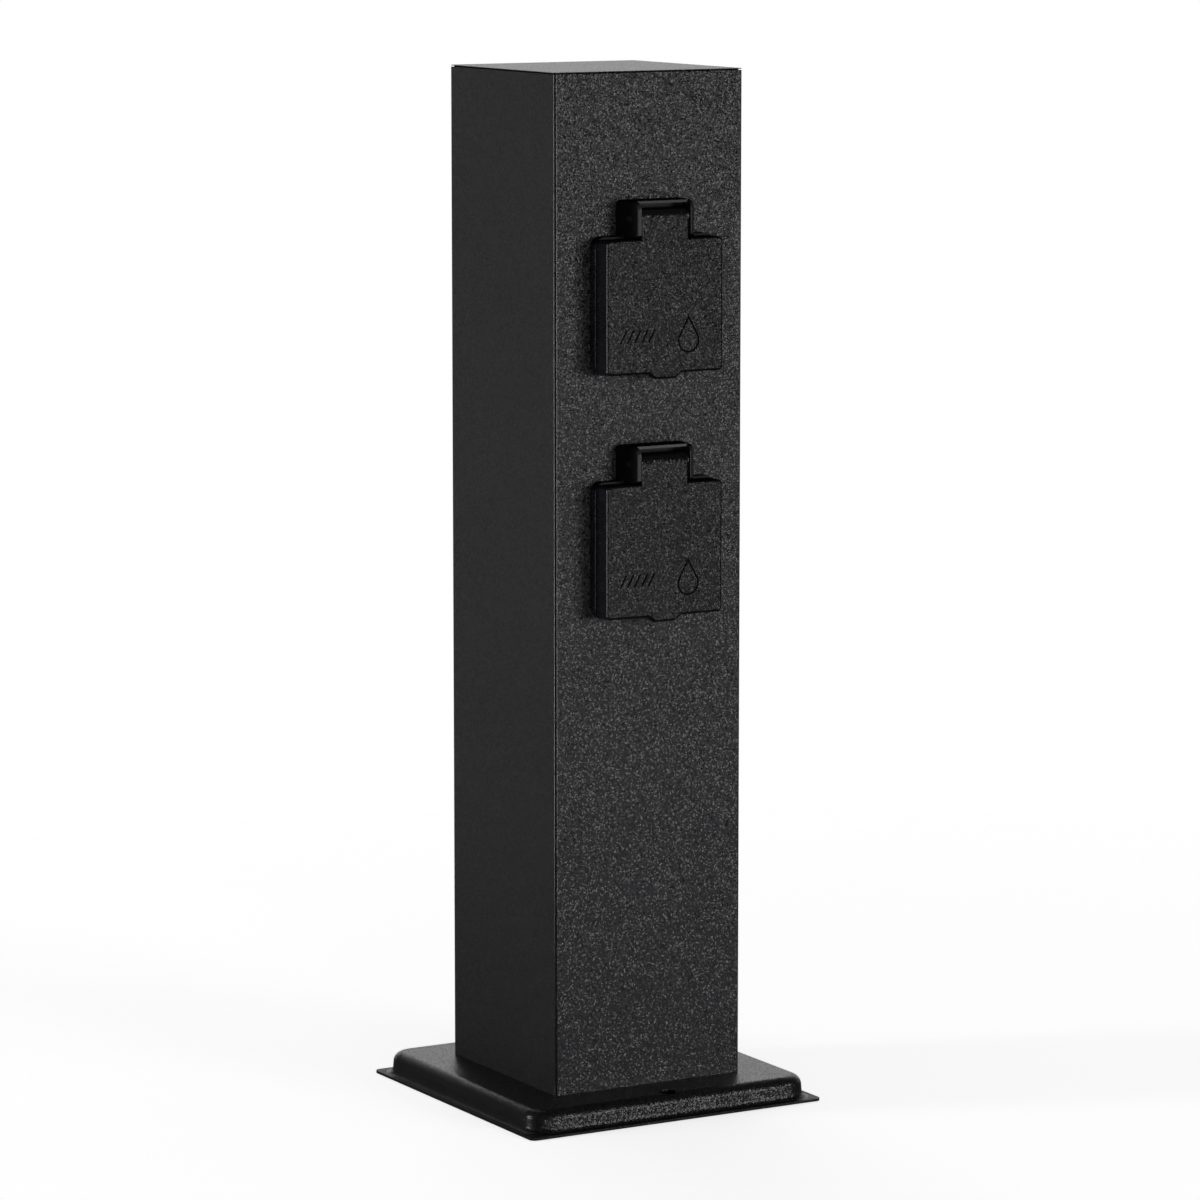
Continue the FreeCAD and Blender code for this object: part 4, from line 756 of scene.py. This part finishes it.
def buildFrame(name, s, h, z):
    half = s["side"] / 2
    body = addBlock(name, (-half, s["front"], z - half), (half, s["back"], z + half))
    roundOff(body, s["corner"], lambda ends: runsAlong(ends, "Y"))
    roundOff(body, s["edge"], lambda ends: allNear(ends, "Y", s["front"]))
    cup = addRod("cup", s["cup"], "Y", s["rim"], s["floorBack"], (0, z), "cup")
    roundOff(cup, s["rimEdge"], lambda ends: allNear(ends, "Y", s["rim"]))
    fuse(body, cup)
    fuse(body, buildHood(h, s, z))
    cut(body, addRod("bore", s["bore"], "Y", s["rim"] - spare, s["floorFront"], (0, z), "cup"))
    keyFront = s["rim"] + s["keyStart"]
    before, behind = s["floorFront"] - spare, s["floorBack"] + spare
    pinHole, screwHole = s["pinHole"] / 2, s["screwHole"] / 2
    for side in (-1, 1):
        inner, outer = sorted((side * (s["bore"] - s["keyDepth"]), side * (s["bore"] + s["keyRoot"])))
        key = addBlock("key", (inner, keyFront, z - s["keyWidth"] / 2),
                       (outer, s["floorFront"] + s["keyFoot"], z + s["keyWidth"] / 2))
        roundOff(key, s["keyEdge"], lambda ends: runsAlong(ends, "Y") or allNear(ends, "Y", keyFront))
        fuse(body, key)
        place = (side * s["pinSpacing"] / 2, z)
        cut(body, addRod("pin", pinHole, "Y", before, behind, place, "bore"))
        cut(body, addRod("lead", pinHole + s["pinLead"] + s["lead"], "Y", s["floorFront"] - s["lead"],
                         s["floorFront"] + s["pinLead"], place, "bore", pinHole))
        low, high = sorted((z + side * s["slotLow"], z + side * s["slotHigh"]))
        cut(body, addBlock("slot", (-s["slotHalf"], keyFront, low), (s["slotHalf"], behind, high)))
        for up in (-1, 1):
            place = (side * s["screwSpacing"] / 2, z + up * s["screwSpacing"] / 2)
            cut(body, addRod("hole", screwHole, "Y", s["front"] - spare, s["back"] + spare, place, "hole"))
            sink = (s["screwHead"] - s["screwHole"]) / 2
            cut(body, addRod("sink", s["screwHead"] / 2 + s["lead"], "Y", s["front"] - s["lead"],
                             s["front"] + sink, place, "hole", screwHole))
    reach = h["cheekOuter"] + spare
    place = (h["pinY"], z + h["pinRise"])
    cut(body, addRod("pinBore", h["pinHole"], "X", -h["boreLeft"], reach + 2 * spare, place, "bore"))
    cut(body, addRod("dimple", h["pinHole"], "X", -reach - 2 * spare, -h["dimple"], place, "bore"))
    cut(body, addRod("hole", s["faceScrewHole"] / 2, "Y", before, behind, (0, z), "hole"))
    shadeRound(body, "moulding")
    return body


framePaint = {"order": ("frameGloss", "mattBlack", "frameSatin", "rubber"), "ahead": 0.3, "slack": 0.05,
              "front": -0.7, "level": 0.4, "round": -0.1, "flat": -0.9, "upright": 0.5}


def paintFrame(body, p, s, h, z):  # by which way its faces point: up-facing faces and the cheeks' front roundings get near-black matt, painted shade; the hood's front faces get a lighter, rougher satin, partly a painted highlight band; the flange front and the cheek sides are dull as rubber
    matt, satin, dull = (p["order"].index(look) for look in ("mattBlack", "frameSatin", "rubber"))
    for face in body.data.polygons:
        middle, facing = face.center / mm, face.normal
        onHood = middle.z > z + s["side"] / 2 and middle.y < s["front"] - p["ahead"]
        onCheek = onHood and abs(middle.x) > h["cheekInner"] - p["slack"]
        onFlange = abs(middle.y - s["front"]) < p["slack"] and facing.y < p["flat"]
        if onHood and facing.y < p["front"]:
            face.material_index = satin
        elif facing.z > p["level"] or (onCheek and p["front"] < facing.y < p["round"]):
            face.material_index = matt
        elif onFlange or (onCheek and abs(facing.z) < p["upright"]):
            face.material_index = dull


# Lids: a shallow tray with a tongue, a hinge barrel and a finger tab
lidSizes = {"width": 49.4, "top": 24.55, "bottom": -25.1, "front": -52.2, "back": -44.3, "corner": (1.6, 6),
            "edge": (0.9, 4), "edgeBelow": 0.5, "draft": 0.4, "frontWall": 2.0, "skirtWall": 1.7,
            "innerCorner": (0.8, 3), "tongue": 20.2, "tongueThick": 2.2, "tongueLap": 3, "barrel": 3.9,
            "pinBore": 1.31, "tabRoot": 15.4, "tabTip": 7.6, "tabDrop": 2.1, "tabThick": 3.2, "tabSteps": 10,
            "tabLap": 1.0, "notchHalf": 4.0, "notchReach": 2.7, "ribOuter": 18.84, "ribInner": 17.94,
            "ribRise": 0.6, "ribRoot": 0.6}
markSizes = {"depth": 0.4, "dropX": 9.8, "dropZ": -10.9, "dropRadius": 4.6, "dropTip": 9.4, "dropSteps": 36,
             "line": 0.7, "strokeX": (-18.0, -15.0, -12.0, -9.0, -6.0), "strokeZ": -11.0, "strokeHeight": 4.8,
             "strokeLean": 1.3, "strokeWidth": 0.75}


def tabProfile(s, z):  # the sides run in a soft double curve from root to tip
    low = z + s["bottom"]
    root = low + s["tabLap"]
    side = []
    for step in range(s["tabSteps"] + 1):
        share = step / s["tabSteps"]
        half = s["tabRoot"] / 2 + (s["tabTip"] - s["tabRoot"]) / 2 * share
        side.append((half, low - s["tabDrop"] * (1 - math.cos(math.pi * share)) / 2))
    other = [(-x, down) for x, down in reversed(side)]
    return [(-s["tabRoot"] / 2, root), (s["tabRoot"] / 2, root)] + side + other


def addPrism(name, profile, start, end):  # a flat outline in X and Z, extruded along Y
    bpy.ops.object.select_all(action="DESELECT")
    mesh = bpy.data.meshes.new(name)
    mesh.from_pydata([(x * mm, start * mm, z * mm) for x, z in profile], [], [list(range(len(profile)))])
    piece = bpy.data.objects.new(name, mesh)
    bpy.context.collection.objects.link(piece)
    inEdit(piece, "FACE", lambda ends: True)
    bpy.ops.mesh.extrude_region_move(TRANSFORM_OT_translate={"value": (0, (end - start) * mm, 0)})
    bpy.ops.mesh.select_all(action="SELECT")
    bpy.ops.mesh.normals_make_consistent(inside=False)
    leaveEdit()
    return piece


def dropOutline(m, z, shrink):  # a plain water drop: a round belly drawn up to a point
    radius = m["dropRadius"] - shrink
    centreZ = z + m["dropZ"] - (m["dropTip"] - m["dropRadius"]) / 2
    tip = m["dropTip"] - shrink * m["dropTip"] / m["dropRadius"]
    touch = math.acos(radius / tip)
    start = math.pi / 2 + touch
    sweep = 2 * math.pi - 2 * touch
    belly = []
    for step in range(m["dropSteps"] + 1):
        angle = start + sweep * step / m["dropSteps"]
        belly.append((m["dropX"] + radius * math.cos(angle), centreZ + radius * math.sin(angle)))
    return [(m["dropX"], centreZ + tip)] + belly


def engrave(lid, s, m, z):
    start, end = s["front"] - spare, s["front"] + m["depth"]
    drop = addPrism("drop", dropOutline(m, z, 0), start, end)
    cut(drop, addPrism("dropInside", dropOutline(m, z, m["line"]), start - spare, end + spare))
    cut(lid, drop)
    half = m["strokeWidth"] / 2
    low, high = z + m["strokeZ"] - m["strokeHeight"] / 2, z + m["strokeZ"] + m["strokeHeight"] / 2
    for x in m["strokeX"]:  # slanting strokes like rain
        left, right = x - m["strokeLean"], x + m["strokeLean"]
        outline = [(left - half, low), (left + half, low), (right + half, high), (right - half, high)]
        cut(lid, addPrism("stroke", outline, start, end))


def buildLid(name, s, m, h, z):
    pinZ = z + h["pinRise"]
    low, high = z + s["bottom"], z + s["top"]
    halfWide = s["width"] / 2
    pinPlace = (h["pinY"], pinZ)
    tray = addBlock(name, (-halfWide, s["front"], low), (halfWide, s["back"], high))
    roundOff(tray, s["corner"], lambda ends: runsAlong(ends, "Y"))
    inEdit(tray, "VERT", lambda ends: allNear(ends, "Y", s["back"]))  # the skirt widens a little to the back
    bpy.ops.transform.resize(value=(1 + s["draft"] / halfWide, 1, 1))
    leaveEdit()
    inEdit(tray, "VERT", lambda ends: allNear(ends, "Y", s["back"]) and ends[0].z < z)
    bpy.ops.transform.translate(value=(0, 0, -s["draft"] * mm))
    leaveEdit()
    fuse(tray, addPrism("tab", tabProfile(s, z), s["front"], s["front"] + s["tabThick"]))
    halfTongue = s["tongue"] / 2
    fuse(tray, addBlock("tongue", (-halfTongue, s["front"], high - s["tongueLap"]),
                        (halfTongue, s["front"] + s["tongueThick"], pinZ)))
    fuse(tray, addRod("barrel", s["barrel"], "X", -halfTongue, halfTongue, pinPlace, "barrel"))
    cleanFlats(tray)
    roundOff(tray, s["edge"], lambda ends: (allNear(ends, "Y", s["front"])
                                            and min(e.z for e in ends) < pinZ - s["edgeBelow"]))
    engrave(tray, s, m, z)
    wall, floor = s["skirtWall"], s["front"] + s["frontWall"]
    inside = addBlock("inside", (-halfWide + wall, floor, low + wall),
                      (halfWide - wall, s["back"] + spare, high - wall))
    roundOff(inside, s["innerCorner"], lambda ends: runsAlong(ends, "Y"))
    cut(tray, inside)
    rib = addRod("rib", s["ribOuter"], "Y", floor - s["ribRoot"], floor + s["ribRise"], (0, z), "cup")
    cut(rib, addRod("ribHole", s["ribInner"], "Y", floor, floor + 2 * spare, (0, z), "cup"))
    fuse(tray, rib)
    half, reach = s["notchHalf"], s["notchReach"]  # the notch gives room for the spring
    cut(tray, addRod("notch", reach, "X", -half, half, pinPlace, "notch"))
    cut(tray, addBlock("notch", (-half, h["pinY"] - reach, high), (half, s["back"] + spare, pinZ)))
    cut(tray, addBlock("notch", (-half, h["pinY"], pinZ - near), (half, s["back"] + spare, pinZ + reach)))
    cut(tray, addRod("bore", s["pinBore"], "X", -halfTongue - spare, halfTongue + spare, pinPlace, "bore"))
    shadeRound(tray, "moulding")
    return tray


lidPaint = {"order": ("frameGloss", "lidGrain", "mattBlack"), "slack": 0.1, "markSlack": 0.02,
            "flat": -0.8, "barrel": -0.2, "barrelReach": 1, "tilt": 0.1, "level": 0.25, "markReach": 21.0,
            "markBelow": 32.0}


def grainTheFront(lid, p, s, m, pinY, pinZ):  # face, tongue and barrel are grained; engraved marks, the right and lower rims of the face and up-facing faces get near-black matt, painted shade
    grained, matt = p["order"].index("lidGrain"), p["order"].index("mattBlack")
    front, slack = s["front"], p["slack"]
    for face in lid.data.polygons:
        middle, facing = face.center / mm, face.normal
        onFront = facing.y < p["flat"] and middle.y < front + s["edge"][0] and middle.z < pinZ + slack
        outward = facing.x > p["tilt"] or facing.z < -p["tilt"]
        onRim = onFront and middle.y > front + near and outward
        onBarrel = facing.y < p["barrel"] and middle.z > pinZ - slack and middle.y < pinY - p["barrelReach"]
        inMark = front + p["markSlack"] < middle.y < front + m["depth"] + p["markSlack"]
        onMark = inMark and abs(middle.x) < p["markReach"] and middle.z < pinZ - p["markBelow"]
        if onMark or onRim or (facing.z > p["level"] and not onBarrel):
            face.material_index = matt
        elif onFront or onBarrel:
            face.material_index = grained


pinSizes = {"radius": 1.25, "left": 12.35, "right": 13.1, "dome": (0.45, 4)}
springSizes = {"wire": 0.6, "radius": 2.1, "turns": 4, "pitch": 1.05, "lean": 13.0, "fixedLeg": 7.0,
               "freeLeg": 6.4, "perTurn": 16, "wireSteps": 3}


def buildPin(name, s, h, z):
    pin = addRod(name, s["radius"], "X", -s["left"], s["right"], (h["pinY"], z + h["pinRise"]), "bore")
    roundOff(pin, s["dome"], lambda ends: allNear(ends, "X", -s["left"]) or allNear(ends, "X", s["right"]))
    return shadeRound(pin, "metal")


def springPoints(s, h, z):
    lean = math.radians(s["lean"])
    sweep = 2 * math.pi * s["turns"] + math.pi - lean
    rise = s["pitch"] / (2 * math.pi)
    pinZ = z + h["pinRise"]

    def place(angle):
        return Vector((-rise * sweep / 2 + rise * (angle - lean), h["pinY"] + s["radius"] * math.cos(angle),
                       pinZ + s["radius"] * math.sin(angle)))

    def heading(angle):
        return Vector((rise, -s["radius"] * math.sin(angle), s["radius"] * math.cos(angle))).normalized()

    count = round(sweep / (2 * math.pi) * s["perTurn"])
    angles = [lean + sweep * step / count for step in range(count + 1)]
    start = place(angles[0]) - heading(angles[0]) * s["fixedLeg"]
    end = place(angles[-1]) + heading(angles[-1]) * s["freeLeg"]
    return [start] + [place(angle) for angle in angles] + [end]


def buildSpring(name, s, h, z):
    points = springPoints(s, h, z)
    line = bpy.data.curves.new(name, "CURVE")
    line.dimensions = "3D"
    run = line.splines.new("POLY")
    run.points.add(len(points) - 1)
    for point, place in zip(run.points, points):
        point.co = (*(place * mm), 1)
    line.bevel_depth = s["wire"] / 2 * mm
    line.bevel_resolution = s["wireSteps"]
    line.use_fill_caps = True
    spring = bpy.data.objects.new(name, line)
    bpy.context.collection.objects.link(spring)
    pickOnly(spring)
    bpy.ops.object.convert(target="MESH")
    return shadeRound(settle(bpy.context.object, name), "wire")


sealSizes = {"inner": 18.9, "outer": 22.2, "back": -50.2, "front": -49.2, "edge": (0.35, 3)}


def buildSeal(name, s, z):
    ring = addRod(name, s["outer"], "Y", s["back"], s["front"], (0, z), "cup")
    cut(ring, addRod("hole", s["inner"], "Y", s["back"] - spare, s["front"] + spare, (0, z), "cup"))
    roundOff(ring, s["edge"], lambda ends: allNear(ends, "Y", s["front"]))
    return shadeRound(ring, "rubber")


for place, z in zip(("upper", "lower"), columnSizes["outlets"]):
    body = buildFrame(place + "Frame", frameSizes, hoodSizes, z)
    looks = [finish[look] for look in framePaint["order"]]
    dress(body, "column", "frame_plastic", [place + "_socket_body"], *looks)
    paintFrame(body, framePaint, frameSizes, hoodSizes, z)
    lid = buildLid(place + "Lid", lidSizes, markSizes, hoodSizes, z)
    looks = [finish[look] for look in lidPaint["order"]]
    dress(lid, place + "_lid_body", "lid_plastic", [place + "_lid"], *looks)
    grainTheFront(lid, lidPaint, lidSizes, markSizes, hoodSizes["pinY"], z + hoodSizes["pinRise"])
    dress(buildSeal(place + "LidSeal", sealSizes, z), place + "_lid_body", "rubber", [place + "_lid_seal"],
          finish["rubber"])
    dress(buildPin(place + "HingePin", pinSizes, hoodSizes, z), "column", "stainless", [place + "_hinge_pin"],
          finish["stainlessWire"])
    dress(buildSpring(place + "LidSpring", springSizes, hoodSizes, z), "column", "spring_steel",
          [place + "_lid_spring"], finish["springSteel"])
    print(place, "outlet ready")

# Finishes of the CAD pieces that stay as they are
slotFinish = {
    "zinc_steel": "zincSteel", "stainless": "stainlessWire", "spring_steel": "springSteel",
    "brass": "brassMetal", "tinned_copper": "tinnedCopper", "rubber": "rubber",
    "gland_plastic": "glandPlastic", "carrier_plastic": "carrierGrey", "shutter_plastic": "shutterWhite",
    "block_plastic": "blockWhite",
    "live_insulation": "liveBrown", "neutral_insulation": "neutralBlue", "earth_insulation": "earthStripes",
    "column_paint": "columnPaint", "base_paint": "basePaint", "frame_plastic": "frameGloss",
    "lid_plastic": "lidGrain",
}
nodeSlots = {part["node"]: part["material_slot"] for part in frame["record"]["subparts"]}
for node, piece in frame["nodes"].items():
    for index in range(len(piece.material_slots)):
        piece.material_slots[index].material = finish[slotFinish[nodeSlots[node]]]
print("finishes placed")
